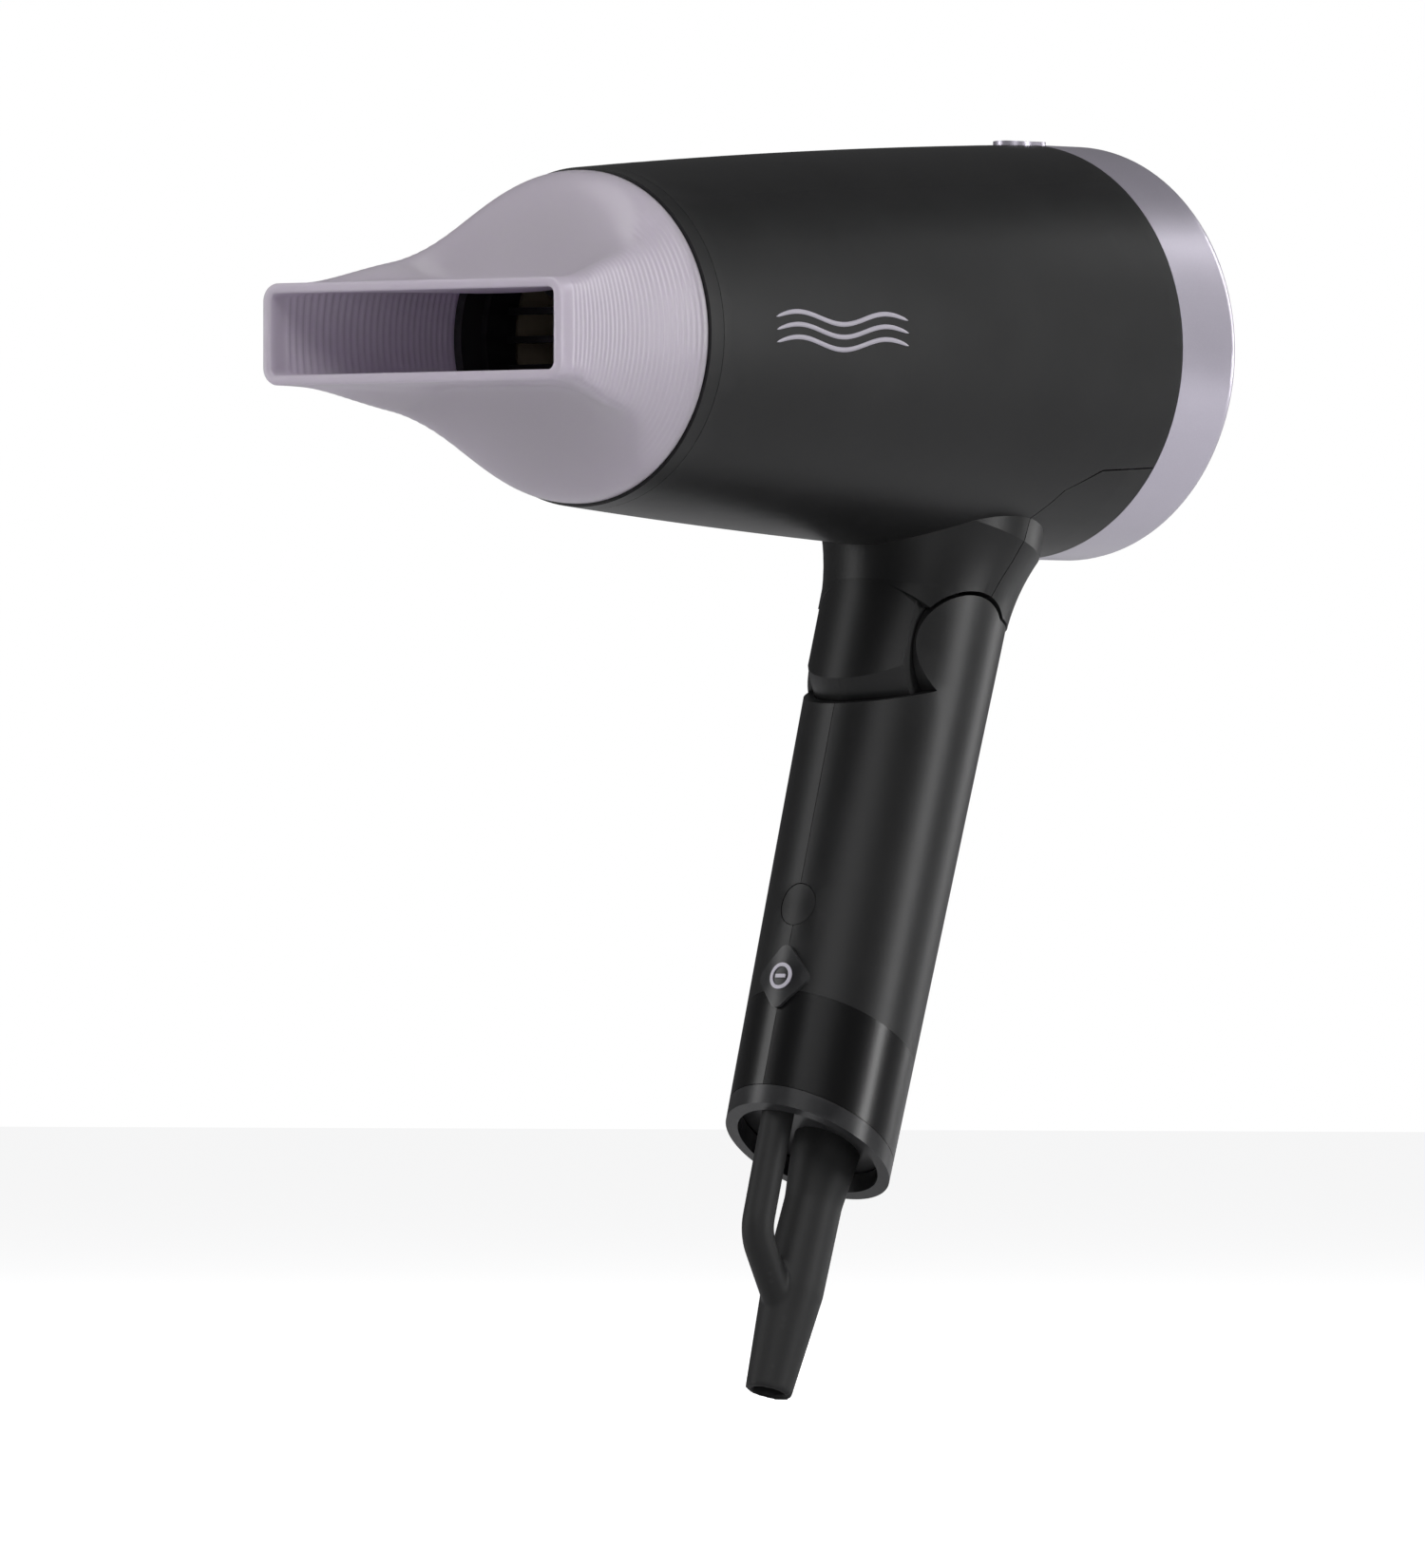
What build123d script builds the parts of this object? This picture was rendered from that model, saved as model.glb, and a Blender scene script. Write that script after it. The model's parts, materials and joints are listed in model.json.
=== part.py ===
from build123d import *
import math
import os

# Folding travel hair dryer, in millimetres.
# Frame: the origin is the centre of the rear face, +X points out of the rear,
# the nozzle points along -X, +Z is up and -Y is the left-hand side.

# ---------------------------------------------------------------- barrel sizes
REAR_R = 40.0            # outer radius where the sleeve meets the rear cap
FRONT_R = 32.1           # outer radius at the front rim
BARREL_BULGE = 0.85      # how far the side bows out from a straight cone
SLEEVE_LEN = 128.0       # dark sleeve, from the rear cap to the front seam
RIM_LEN = 3.4            # front rim ring
CAP_LEN = 18.0           # rear cap
CAP_EDGE_R = 3.0         # rounding of the rear cap's outer edge
SHELL_WALL = 2.0         # wall of every large moulding
SEAM = 0.12              # visible seam between two shells, on each side

INTAKE_R = REAR_R - 9.0  # opening in the rear face
GRILLE_FIT = 0.1         # intake grille to cap, all round
INTAKE_T = 2.0
INTAKE_RINGS = 5
INTAKE_SPOKES = 12
RING_BAR = 1.6
BOSS_R = 8.0             # closed middle of the intake grille, flush with the rear face
SPIGOT_CLEAR = 0.15
SPIGOT_WALL = 1.5
SPIGOT_LEN = 4.0

# ---------------------------------------------------------------- nozzle sizes
NOZZLE_LEN = 49.4        # from the rim to the front of the slot
SLOT_W = 73.5            # outer width of the slot end
SLOT_H = 19.2            # outer height of the slot end
SLOT_CORNER_R = 3.4      # outer corner radius of the slot end
NOZZLE_WALL = 1.9
NOZZLE_INSET = 0.9       # how far the nozzle's root is set in from the rim's edge
NOZZLE_GAP = 0.3         # gap from the nozzle to the rim, along the barrel
FLANGE_T = 1.4           # inner flange that runs on the clip ring

# ---------------------------------------------------------------- handle sizes
TILT = 17.2              # forward lean of the handle, degrees
HANDLE_X = -34.85        # where the handle axis crosses the barrel axis
HANDLE_R = 17.83         # handle radius at the top of the grip
HANDLE_TAPER = 0.0136    # radius lost for each millimetre down the handle
TAPER_START = 60.0       # distance down the axis where the taper is counted from
HANDLE_END = 161.1       # distance down the axis of the end ring's lower face
END_SLANT = 15.7         # slant of the end ring to the handle axis, degrees
END_RING_T = 3.5         # thickness of the end ring
END_RECESS = 4.0         # depth of the end plate inside the ring

# ----------------------------------------------------------------- hinge sizes
PIVOT_S = 62.0           # hinge pivot, distance down the handle axis
PIVOT_F = 1.3            # hinge pivot, distance in front of the handle axis
FOLD = 73.0              # travel of the fold, degrees
CHEEK_R = 11.2           # round cheeks of the handle
HINGE_GAP = 0.8          # visible gap round the cheeks
TONGUE_HALF = 11.8       # half thickness of the neck's tongue
CHEEK_CLEAR = 0.4        # gap between tongue and cheek, on each side
PIN_R = 3.0
PIN_HALF = 15.3
PIN_RUN = 0.05           # running clearance of the pin in its bush
BUSH_WALL = 1.5
RIM_DROP = 15.0          # front rim of the handle, below the pivot
RIM_RISE = 28.7          # slope of that rim towards the cheeks, degrees
LIP_RISE = 9.0           # rear lip of the neck, above the pivot
LIP_GAP = 0.5
TONGUE_ROOT_S = 49.0     # distance down the handle axis where the tongue leaves the neck
NECK_R = 18.2            # neck radius
FLARE_R = 21.6           # neck radius where it runs into the barrel
FLARE_START = 38.0       # distance down the handle axis
FLARE_END = 52.0

# -------------------------------------------------------------- air path sizes
FAN_R = REAR_R - 10.2
FAN_CLEAR = 0.8
DUCT_WALL = 1.8
FAN_REAR_X = -24.0
FAN_LEN = 14.0
MOTOR_R = 13.6
HUB_R = MOTOR_R - 0.6
MOTOR_REAR_X = -44.0
MOTOR_LEN = 34.0
SHAFT_R = 1.2
DUCT_REAR_X = -20.5
DUCT_FRONT_X = -86.0
HEATER_REAR_X = -90.0
HEATER_FRONT_X = -134.0
MICA_R = FRONT_R - 3.5
MICA_T = 0.5
BLADES = 7
VANES = 8

# ------------------------------------------------------------ nozzle clip sizes
CLIP_R = FRONT_R - 4.9   # outer radius of the ring that holds the nozzle
CLIP_WALL = 1.8
CLIP_LEN = 8.0
CLIP_DEPTH = 2.8         # how far the clip ring enters the rim
CLIP_RUN = 0.06          # running clearance of the nozzle's flange on the ring
CLIP_LIP_T = 0.9         # lip in front of the flange
CLIP_LIP_H = 0.6
SEAT_GAP = 0.3           # end and side gap of the ring in its seat
CLIP_CLEAR = 0.35        # clip ring to the outlet's spigot

# -------------------------------------------------------------- motor fit sizes
BUSH_R = 3.0
SHAFT_RUN = 0.03

# ------------------------------------------------------------ heater coil sizes
COIL_R = MICA_R - 6.1
COIL_WIRE = 0.9
COIL_ROWS = 9

# ------------------------------------------------------------ grip detail sizes
REACH = 30.0             # sideways reach of the cutting outlines, past the grip's surface
WINDOW_TOP = 90.0        # control window, distance down the handle axis
WINDOW_LEN = 42.0
WINDOW_HALF = 8.6
PANEL_FIT = 0.1
PANEL_SINK = 0.5
PANEL_T = 2.4
PLUG_S = 117.0
PLUG_R = 4.2
BADGE_S = 131.5
BADGE_W = 13.0
BADGE_H = 14.0
BADGE_T = 0.7
SCREW_R = 1.3

# ---------------------------------------------------------------- control sizes
SLIDE_S = 99.0           # speed slider at rest, distance down the handle axis
SLIDE_TRAVEL = 8.0
SLIDE_STEM_W = 4.0
SLIDE_STEM_L = 5.0
SLIDE_CAP_W = 11.0
SLIDE_CAP_L = 9.0
SLIDE_CAP_H = 3.0
BUTTON_S = 124.0
BUTTON_R = 4.4
BUTTON_TRAVEL = 1.5
SPRING_R = 2.4
SPRING_DEEP = 3.4        # how far the spring reaches into the button
MOVE_GAP = 0.35
SWITCH_FACE = 10.0       # front of the switch bodies, from the handle axis
SWITCH_BACK = 3.0

# ------------------------------------------------------------------ board sizes
BOARD_TOP = 88.0
BOARD_LEN = 50.0
BOARD_T = 1.6

# ------------------------------------------------- strain relief and loop sizes
RELIEF_ROOT = (5.2, -(HANDLE_END - 3.1))
RELIEF_TIP = (2.3, -(HANDLE_END + 47.3))
RELIEF_ROOT_R = 6.6
RELIEF_MID_R = 5.6
RELIEF_LOW_R = 6.0
RELIEF_TIP_R = 4.5
CORD_R = 3.1
LOOP_WIRE_R = 3.1
LOOP_TOP = (-10.7, -(HANDLE_END - 10.1))
LOOP_BEND = (-10.2, -(HANDLE_END + 19.4))
LOOP_FOOT = (1.5, -(HANDLE_END + 30.9))
CLAMP_S = HANDLE_END - 18.1   # cord clamp, distance down the handle axis
CLAMP_X = 4.8            # middle of the clamp, behind the handle axis
CLAMP_T = 11.0
CLAMP_SCREW_Y = 5.8
CLAMP_SCREW_R = 1.1

# ---------------------------------------------------------------- derived sizes
SEAM_X = -CAP_LEN
RIM_REAR_X = SEAM_X - SLEEVE_LEN
RIM_X = RIM_REAR_X - RIM_LEN
SLOT_X = RIM_X - NOZZLE_LEN
ROOT_R = FRONT_R - NOZZLE_INSET
SPIGOT_R = CLIP_R - CLIP_WALL - CLIP_CLEAR
CHEEK_IN = TONGUE_HALF + CHEEK_CLEAR
POCKET_R = CHEEK_R + HINGE_GAP
BIG = 400.0
SEAM_TURN = 37.0         # turns the closing edge of a round body away from every cut, degrees

HANDLE = Location((HANDLE_X, 0, 0), (0, TILT, 0))
PIN_AXIS = HANDLE * Location((-PIVOT_F, 0, -PIVOT_S), (90, 0, 0))


# --------------------------------------------------------------------- helpers
def tube_x(r_out, r_in, x0, x1):
    """Ring or disc about the barrel axis between two X stations."""
    ring = Cylinder(r_out, abs(x1 - x0))
    if r_in > 0:
        ring -= Cylinder(r_in, abs(x1 - x0) + 2)
    return Location(((x0 + x1) / 2, 0, 0), (0, 90, 0)) * ring


def slab_x(x0, x1):
    """Everything between two X stations."""
    return Location(((x0 + x1) / 2, 0, 0)) * Box(abs(x1 - x0), BIG, BIG)


def prism_y(outline, y0, y1):
    """Outline in X and Z, made solid from y0 to y1."""
    face = Plane.XZ.offset(-y0) * outline
    return extrude(face, amount=y1 - y0, dir=(0, 1, 0))


def polygon(points):
    return make_face(Polyline(*points, close=True))


def grip_radius(s):
    """Handle radius at distance s down its axis."""
    return HANDLE_R - HANDLE_TAPER * (s - TAPER_START)


def barrel_radius(x):
    """Outer barrel radius at station x, on one shallow arc."""
    span = RIM_X - SEAM_X
    t = (x - SEAM_X) / span
    return REAR_R + (FRONT_R - REAR_R) * t + 4 * BARREL_BULGE * t * (1 - t)


def barrel_solid(inset):
    """Solid inside the barrel's outer surface, moved in by inset."""
    mid = (SEAM_X + RIM_X) / 2
    crown = (mid, barrel_radius(mid) - inset)
    top = ThreePointArc((SEAM_X, REAR_R - inset), crown, (RIM_X, FRONT_R - inset))
    side = Polyline((RIM_X, FRONT_R - inset), (RIM_X, 0), (SEAM_X, 0), (SEAM_X, REAR_R - inset))
    return Rotation(SEAM_TURN, 0, 0) * revolve(Plane.XZ * make_face([top.edge(), *side.edges()]), Axis.X)


def grip_solid(inset, s0, s1):
    """Solid of the handle's tapered round, in the handle frame."""
    points = [(0, -s0), (grip_radius(s0) - inset, -s0), (grip_radius(s1) - inset, -s1), (0, -s1)]
    return Rotation(0, 0, SEAM_TURN) * revolve(Plane.XZ * polygon(points), Axis.Z)


def pivot_disc(radius):
    """Outline of a disc about the pivot, in the handle frame."""
    return Location((-PIVOT_F, -PIVOT_S)) * Circle(radius)


def end_half_space(depth):
    """Everything above the plane parallel to the end ring at a depth above its lower face."""
    block = Location((0, 0, depth + BIG / 2)) * Box(BIG, BIG, BIG)
    return Location((0, 0, -HANDLE_END), (0, END_SLANT, 0)) * block


def rim_line():
    """Distances down the axis of the front rim, at the outline's reach and under the pivot."""
    front = grip_radius(PIVOT_S + RIM_DROP)
    slope = math.tan(math.radians(RIM_RISE))
    base_s = PIVOT_S + RIM_DROP + (REACH - front) * slope
    return base_s, base_s - (REACH - PIVOT_F) * slope


def rim_outline():
    """Side outline of the handle below its front rim and rear lip, in the handle frame."""
    base_s, crown_s = rim_line()
    bottom = HANDLE_END + 40
    lip = PIVOT_S - LIP_RISE
    front = [(-REACH, -base_s), (-PIVOT_F, -crown_s), (REACH, -crown_s)]
    below = polygon([*front, (REACH, -bottom), (-REACH, -bottom)])
    behind = polygon([(-PIVOT_F, -lip), (REACH, -lip), (REACH, -bottom), (-PIVOT_F, -bottom)])
    return below + behind + pivot_disc(CHEEK_R)


def lobe_radius(y):
    """Largest reach of the tongue from the pivot that clears the handle's front wall."""
    inner = grip_radius(PIVOT_S) - SHELL_WALL
    forward = math.sqrt(max(inner * inner - y * y, 1.0))
    drop = RIM_DROP - (grip_radius(PIVOT_S) - forward) * math.tan(math.radians(RIM_RISE))
    return math.hypot(drop, forward - PIVOT_F) - CHEEK_CLEAR


# ------------------------------------------------------------------ head shells
def folded_rear_wall():
    """Rear wall of the grip as it lies beside the tongue when the dryer is folded."""
    wall = grip_solid(-6, PIVOT_S - LIP_RISE, PIVOT_S + 60)
    wall -= grip_solid(SHELL_WALL + CHEEK_CLEAR, PIVOT_S - LIP_RISE - 1, PIVOT_S + 61)
    wall &= Location((BIG / 2, 0, 0)) * Box(BIG, BIG, BIG)
    to_pivot = Location((PIVOT_F, 0, PIVOT_S))
    return Location((-PIVOT_F, 0, -PIVOT_S)) * Rotation(0, FOLD, 0) * to_pivot * wall


def neck_solid():
    """Neck and tongue below the barrel, in the handle frame."""
    flare_mid = ((FLARE_R + NECK_R) / 2 - 0.6, -(FLARE_START + FLARE_END) / 2)
    flare = ThreePointArc((FLARE_R, -FLARE_START), flare_mid, (NECK_R, -FLARE_END))
    lip_s = PIVOT_S - LIP_RISE - LIP_GAP
    tall = Polyline((NECK_R, -FLARE_END), (NECK_R, -BIG / 2), (0, -BIG / 2), (0, -10), (FLARE_R, -10))
    close = Line((FLARE_R, -10), (FLARE_R, -FLARE_START))
    side = make_face([flare.edge(), *tall.edges(), close.edge()])
    body = Rotation(0, 0, SEAM_TURN) * revolve(Plane.XZ * side, Axis.Z)

    # Side skirts, above the cheeks: they stop where the handle's front rim swings past.
    swing = math.radians(30.0)
    far = 60.0
    front = (-PIVOT_F - far * math.cos(swing), -PIVOT_S + far * math.sin(swing))
    corner = (-PIVOT_F, -PIVOT_S)
    skirt = polygon([corner, front, (-far, 0), (far, 0), (far, -lip_s), (-PIVOT_F, -lip_s)])
    skirt -= pivot_disc(POCKET_R)
    skirts = prism_y(skirt, -BIG / 2, BIG / 2)

    # Tongue, between the cheeks, with its rounded front lobe.
    behind = POCKET_R - 1.0
    lobe = polygon([(-far, 0), (-PIVOT_F, 0), (-PIVOT_F, -PIVOT_S - 30), (-far, -PIVOT_S - 30)])
    root_x = behind - PIVOT_F
    root = polygon([(-PIVOT_F, 0), (root_x, 0), (root_x, -PIVOT_S), (-PIVOT_F, -PIVOT_S)])
    tongue = prism_y(lobe + root + pivot_disc(behind), -TONGUE_HALF, TONGUE_HALF)
    tongue -= folded_rear_wall()
    steps = 8
    ys = [TONGUE_HALF * i / steps for i in range(steps + 1)]
    curve = Spline(*[(lobe_radius(y), y) for y in ys])
    half = Polyline((lobe_radius(TONGUE_HALF), TONGUE_HALF), (0, TONGUE_HALF), (0, 0), (lobe_radius(0), 0))
    bulb = revolve(make_face([curve.edge(), *half.edges()]), Axis.Y)
    bulb += mirror(bulb, Plane.XZ)
    bulb = Location((-PIVOT_F, 0, -PIVOT_S)) * bulb
    above = prism_y(polygon([(-far, 0), (far, 0), (far, -lip_s), (-far, -lip_s)]), -BIG / 2, BIG / 2)
    web_s = PIVOT_S - POCKET_R - 1
    web_outline = polygon([(-far, 0), (far, 0), (far, -web_s), (-far, -web_s)])
    web = prism_y(web_outline, -TONGUE_HALF, TONGUE_HALF)
    return body & (skirts + (tongue & (bulb + above)) + web)


def head_shell():
    """Sleeve, neck and tongue as one body, before the rear neck cover is parted off."""
    neck = HANDLE * neck_solid()
    sleeve = barrel_solid(0) & slab_x(RIM_REAR_X, SEAM_X)
    shell = sleeve + (neck & slab_x(-BIG, SEAM_X))
    shell -= barrel_solid(SHELL_WALL) & slab_x(RIM_REAR_X - 1, SEAM_X + 1)
    shell -= tube_x(REAR_R - SHELL_WALL, 0, SEAM_X - 1, SEAM_X + 2)
    # Wiring way down through the neck to the tongue.
    way = Location((0, 0, -(FLARE_START + 4))) * Cylinder(NECK_R - 3.5, 16)
    shell -= HANDLE * way
    slot = Location((-PIVOT_F - 8.0, 0, -(PIVOT_S - 2))) * Box(5, 9, 60)
    shell -= HANDLE * slot
    seat = Cylinder(PIN_R + PIN_RUN + BUSH_WALL, 2 * TONGUE_HALF + 1)
    return shell - PIN_AXIS * seat


def cover_outline(grow):
    """Side outline of the rear neck cover, in X and Z, moved out by grow."""
    x_rear = SEAM_X + 1
    points = [(x_rear, -22.8 + grow), (SEAM_X - 14 - grow, -23.6 + grow), (SEAM_X - 21 - grow, -27.5),
              (SEAM_X - 23.5 - grow, -33), (SEAM_X - 27 - grow, -41), (SEAM_X - 33 - grow, -50),
              (SEAM_X - 35 - grow, -70), (x_rear, -70)]
    return polygon(points)


def tongue_zone(grow):
    """Space round the tongue that stays with the sleeve, moved out by grow."""
    top_s, low_s = TONGUE_ROOT_S - grow, PIVOT_S + BIG / 4
    outline = polygon([(-BIG / 4, -top_s), (BIG / 4, -top_s), (BIG / 4, -low_s), (-BIG / 4, -low_s)])
    return HANDLE * prism_y(outline, -TONGUE_HALF - grow, TONGUE_HALF + grow)


def barrel_parts(shell):
    """The sleeve with its front half of the neck, and the rear neck cover."""
    kept = tongue_zone(0)
    sleeve = shell - (prism_y(cover_outline(SEAM), -BIG / 2, BIG / 2) - kept)
    cover = shell & prism_y(cover_outline(-SEAM), -BIG / 2, BIG / 2)
    return sleeve, cover - tongue_zone(SEAM)


def front_rim():
    """Ring that ends the barrel round the nozzle's clip ring."""
    ring = barrel_solid(0) & slab_x(RIM_X, RIM_REAR_X - SEAM)
    ring -= tube_x(CLIP_R + SEAT_GAP, 0, RIM_X - 1, RIM_REAR_X + 1)
    plug_r = barrel_radius(RIM_REAR_X) - SHELL_WALL - SEAM
    ring += tube_x(plug_r, plug_r - 1.6, RIM_REAR_X - SEAM - 0.1, RIM_REAR_X + 4)
    return ring


def rear_cap():
    """Cap with a rounded rear edge and the opening for the intake grille."""
    cap = tube_x(REAR_R, 0, SEAM_X + SEAM, 0)
    cap = fillet(cap.edges().group_by(Axis.X)[-1], CAP_EDGE_R)
    cap -= tube_x(REAR_R - SHELL_WALL, 0, SEAM_X - 1, -SHELL_WALL - 1.2)
    cap -= tube_x(INTAKE_R, 0, -BIG / 4, 1)
    spigot_r = REAR_R - SHELL_WALL - SPIGOT_CLEAR
    cap += tube_x(REAR_R - SHELL_WALL + 0.1, spigot_r - SPIGOT_WALL, SEAM_X + SEAM, SEAM_X + 3)
    cap += tube_x(spigot_r, spigot_r - SPIGOT_WALL, SEAM_X - SPIGOT_LEN, SEAM_X + SEAM + 0.1)
    return cap


def intake_grille():
    """Rings and spokes across the rear opening, with a closed middle."""
    outer = INTAKE_R - GRILLE_FIT
    x0, x1 = -INTAKE_T - 0.6, -0.6
    grille = tube_x(outer, outer - RING_BAR, x0, x1) + tube_x(BOSS_R, 0, x0, 0)
    pitch = (outer - RING_BAR / 2 - BOSS_R) / (INTAKE_RINGS + 1)
    for i in range(1, INTAKE_RINGS + 1):
        radius = BOSS_R + pitch * i
        grille += tube_x(radius + RING_BAR / 2, radius - RING_BAR / 2, x0, x1)
    for i in range(INTAKE_SPOKES):
        spoke = Location(((x0 + x1) / 2, 0, 0), (360 / INTAKE_SPOKES * i, 0, 0)) * (
            Location((0, 0, (outer + 4) / 2)) * Box(INTAKE_T, 1.4, outer - 4.4))
        grille += spoke
    return grille


def dust_filter():
    """Fine mesh disc behind the intake grille."""
    x1 = -INTAKE_T - 0.6
    mesh = tube_x(INTAKE_R - GRILLE_FIT, 0, x1 - 0.8, x1)
    return mesh


def top_tab():
    """Raised rounded tab across the seam at the top of the barrel."""
    tab_len, tab_w, tab_h = 11.2, 8.4, 0.65
    plan = Location((SEAM_X - 0.5, 0)) * SlotOverall(tab_len, tab_w)
    tab = extrude(Plane.XY.offset(REAR_R - 2) * plan, amount=6)
    tab &= tube_x(REAR_R + tab_h, 0, SEAM_X - 10, SEAM_X + 10)
    return tab - barrel_solid(0) - tube_x(REAR_R, 0, SEAM_X, SEAM_X + 20)


# ----------------------------------------------------------------------- nozzle
def nozzle_loft(inset, x_front, x_rear):
    """Concentrator body from the round skirt to the flat slot."""
    steps = 6
    root_r = ROOT_R
    sections = []
    for i in range(steps + 1):
        t = i / steps
        x = RIM_X - t * NOZZLE_LEN
        if i == 0:
            x = x_rear
        if i == steps:
            x = x_front
        u = t ** 0.85
        ease = u * u * (3 - 2 * u)
        width = 2 * root_r + (SLOT_W - 2 * root_r) * ease
        height = 2 * root_r + (SLOT_H - 2 * root_r) * ease
        corner = (root_r - 0.02) * (1 - t) ** 1.6 * (height / (2 * root_r)) + SLOT_CORNER_R * t
        face = RectangleRounded(width - 2 * inset, height - 2 * inset, max(corner - inset, 0.8))
        plane = Plane(origin=(x, 0, 0), x_dir=(0, 1, 0), z_dir=(1, 0, 0))
        sections.append(plane * face)
    return loft(sections)


def nozzle():
    """Translucent concentrator with the flange that runs on its clip ring."""
    x_rear = RIM_X - NOZZLE_GAP
    body = nozzle_loft(0, SLOT_X, x_rear) - nozzle_loft(NOZZLE_WALL, SLOT_X, x_rear)
    flange = tube_x(ROOT_R - NOZZLE_WALL / 2, CLIP_R + CLIP_RUN, x_rear - FLANGE_T, x_rear)
    return body + flange


def clip_ring():
    """Dark ring inside the nozzle that snaps on the outlet's spigot."""
    x0 = RIM_X + CLIP_DEPTH - CLIP_LEN
    ring = tube_x(CLIP_R, CLIP_R - CLIP_WALL, x0, RIM_X + CLIP_DEPTH)
    lip_x = RIM_X - NOZZLE_GAP - FLANGE_T - SEAT_GAP
    ring += tube_x(CLIP_R + CLIP_LIP_H, CLIP_R - CLIP_WALL, lip_x - CLIP_LIP_T, lip_x)
    for angle in (90, 210, 330):
        lug = Location((x0 + 1.5, 0, 0), (angle, 0, 0)) * (
            Location((0, 0, CLIP_R - CLIP_WALL / 2)) * Box(3.0, 6.0, CLIP_WALL * 0.9))
        ring += lug
    return ring


def outlet_grille():
    """Frame with horizontal bars, one diagonal strut and the nozzle's spigot."""
    x0, x1 = RIM_REAR_X + 2.5, RIM_REAR_X + 5.0
    frame_r = barrel_radius(RIM_REAR_X) - SHELL_WALL - SEAM - 1.6 - 0.1
    grille = tube_x(frame_r, SPIGOT_R - SPIGOT_WALL, x0, x1)
    grille += tube_x(SPIGOT_R, SPIGOT_R - SPIGOT_WALL, RIM_X, x1)
    disc = tube_x(SPIGOT_R - 1.0, 0, x0, x1)
    bar, pitch = 1.3, 5.4
    for i in range(-4, 5):
        grille += disc & (Location(((x0 + x1) / 2, 0, pitch * i)) * Box(2.5, BIG / 4, bar))
    strut = Location(((x0 + x1) / 2, 0, 0), (35, 0, 0)) * Box(2.5, BIG / 4, 1.6)
    post = Location(((x0 + x1) / 2, 0, 0)) * Box(2.5, 1.6, BIG / 4)
    return grille + (disc & strut) + (disc & post)


# --------------------------------------------------------------------- air path
def fan_duct():
    """Duct round the fan, with stator vanes that carry the motor."""
    duct_r = FAN_R + FAN_CLEAR
    duct = tube_x(duct_r + DUCT_WALL, duct_r, DUCT_FRONT_X, DUCT_REAR_X)
    hub = tube_x(MOTOR_R + 1.7, MOTOR_R, MOTOR_REAR_X - 16, MOTOR_REAR_X + 1.0)
    duct += hub
    span = duct_r - MOTOR_R - 0.6
    for i in range(VANES):
        vane = Location((MOTOR_REAR_X - 8, 0, 0), (360 / VANES * i, 0, 0)) * (
            Location((0, 0, MOTOR_R + 0.9 + span / 2), (0, 0, 14)) * Box(13, 1.4, span))
        duct += vane
    flange_r = barrel_radius(DUCT_FRONT_X) - SHELL_WALL - 0.15
    duct += tube_x(flange_r, duct_r, DUCT_FRONT_X, DUCT_FRONT_X + 2)
    return duct


def fan_impeller():
    """Axial fan with pitched blades on a hub."""
    mid = FAN_REAR_X - FAN_LEN / 2
    hub = tube_x(HUB_R, SHAFT_R, FAN_REAR_X - FAN_LEN, FAN_REAR_X)
    rear_half = Location((HUB_R / 2, 0, 0)) * Box(HUB_R, BIG / 4, BIG / 4)
    nose = Location((FAN_REAR_X, 0, 0)) * (Sphere(HUB_R * 0.9) & rear_half)
    nose -= tube_x(SHAFT_R, 0, FAN_REAR_X - 1, FAN_REAR_X + 5)
    fan = hub + nose
    limit = tube_x(FAN_R, HUB_R - 0.5, FAN_REAR_X - FAN_LEN + 0.4, FAN_REAR_X - 0.4)
    for i in range(BLADES):
        blade = Location((mid, 0, 0), (360 / BLADES * i, 0, 0)) * (
            Location((0, 0, FAN_R / 2 + 6), (0, 0, 38)) * Box(FAN_LEN * 1.5, 1.3, FAN_R))
        fan += blade & limit
    return fan


def motor_shaft():
    return tube_x(SHAFT_R, 0, MOTOR_REAR_X - MOTOR_LEN + 2.0, FAN_REAR_X + 4)


def motor_can():
    """Drawn steel can, closed at the front with a bearing seat."""
    front = MOTOR_REAR_X - MOTOR_LEN
    can = tube_x(MOTOR_R, 0, front, MOTOR_REAR_X)
    can -= tube_x(MOTOR_R - 1.0, 0, front + 1.0, MOTOR_REAR_X + 1)
    return can - tube_x(BUSH_R, 0, front - 1, front + 2)


def motor_end_bell():
    """Moulded end that closes the can towards the fan."""
    bell = tube_x(MOTOR_R - 1.0, 0, MOTOR_REAR_X - 3.0, MOTOR_REAR_X)
    return bell - tube_x(BUSH_R, 0, MOTOR_REAR_X - 4, MOTOR_REAR_X + 1)


def motor_bushes():
    """Sintered bushes at both ends of the shaft."""
    bore = SHAFT_R + SHAFT_RUN
    front = MOTOR_REAR_X - MOTOR_LEN
    return [tube_x(BUSH_R, bore, front, front + 3.0), tube_x(BUSH_R, bore, MOTOR_REAR_X - 3.0, MOTOR_REAR_X)]


def motor_armature():
    """Laminated armature and commutator on the shaft."""
    core = tube_x(MOTOR_R - 3.4, SHAFT_R, MOTOR_REAR_X - 26, MOTOR_REAR_X - 10)
    return core + tube_x(4.0, SHAFT_R, MOTOR_REAR_X - 10.1, MOTOR_REAR_X - 5)


def motor_magnets():
    """Two arc magnets inside the can."""
    ring = tube_x(MOTOR_R - 1.0, MOTOR_R - 2.9, MOTOR_REAR_X - 28, MOTOR_REAR_X - 8)
    gap = Location((MOTOR_REAR_X - 18, 0, 0)) * Box(24, BIG / 4, 5)
    return [s for s in (ring - gap).solids()]


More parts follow.
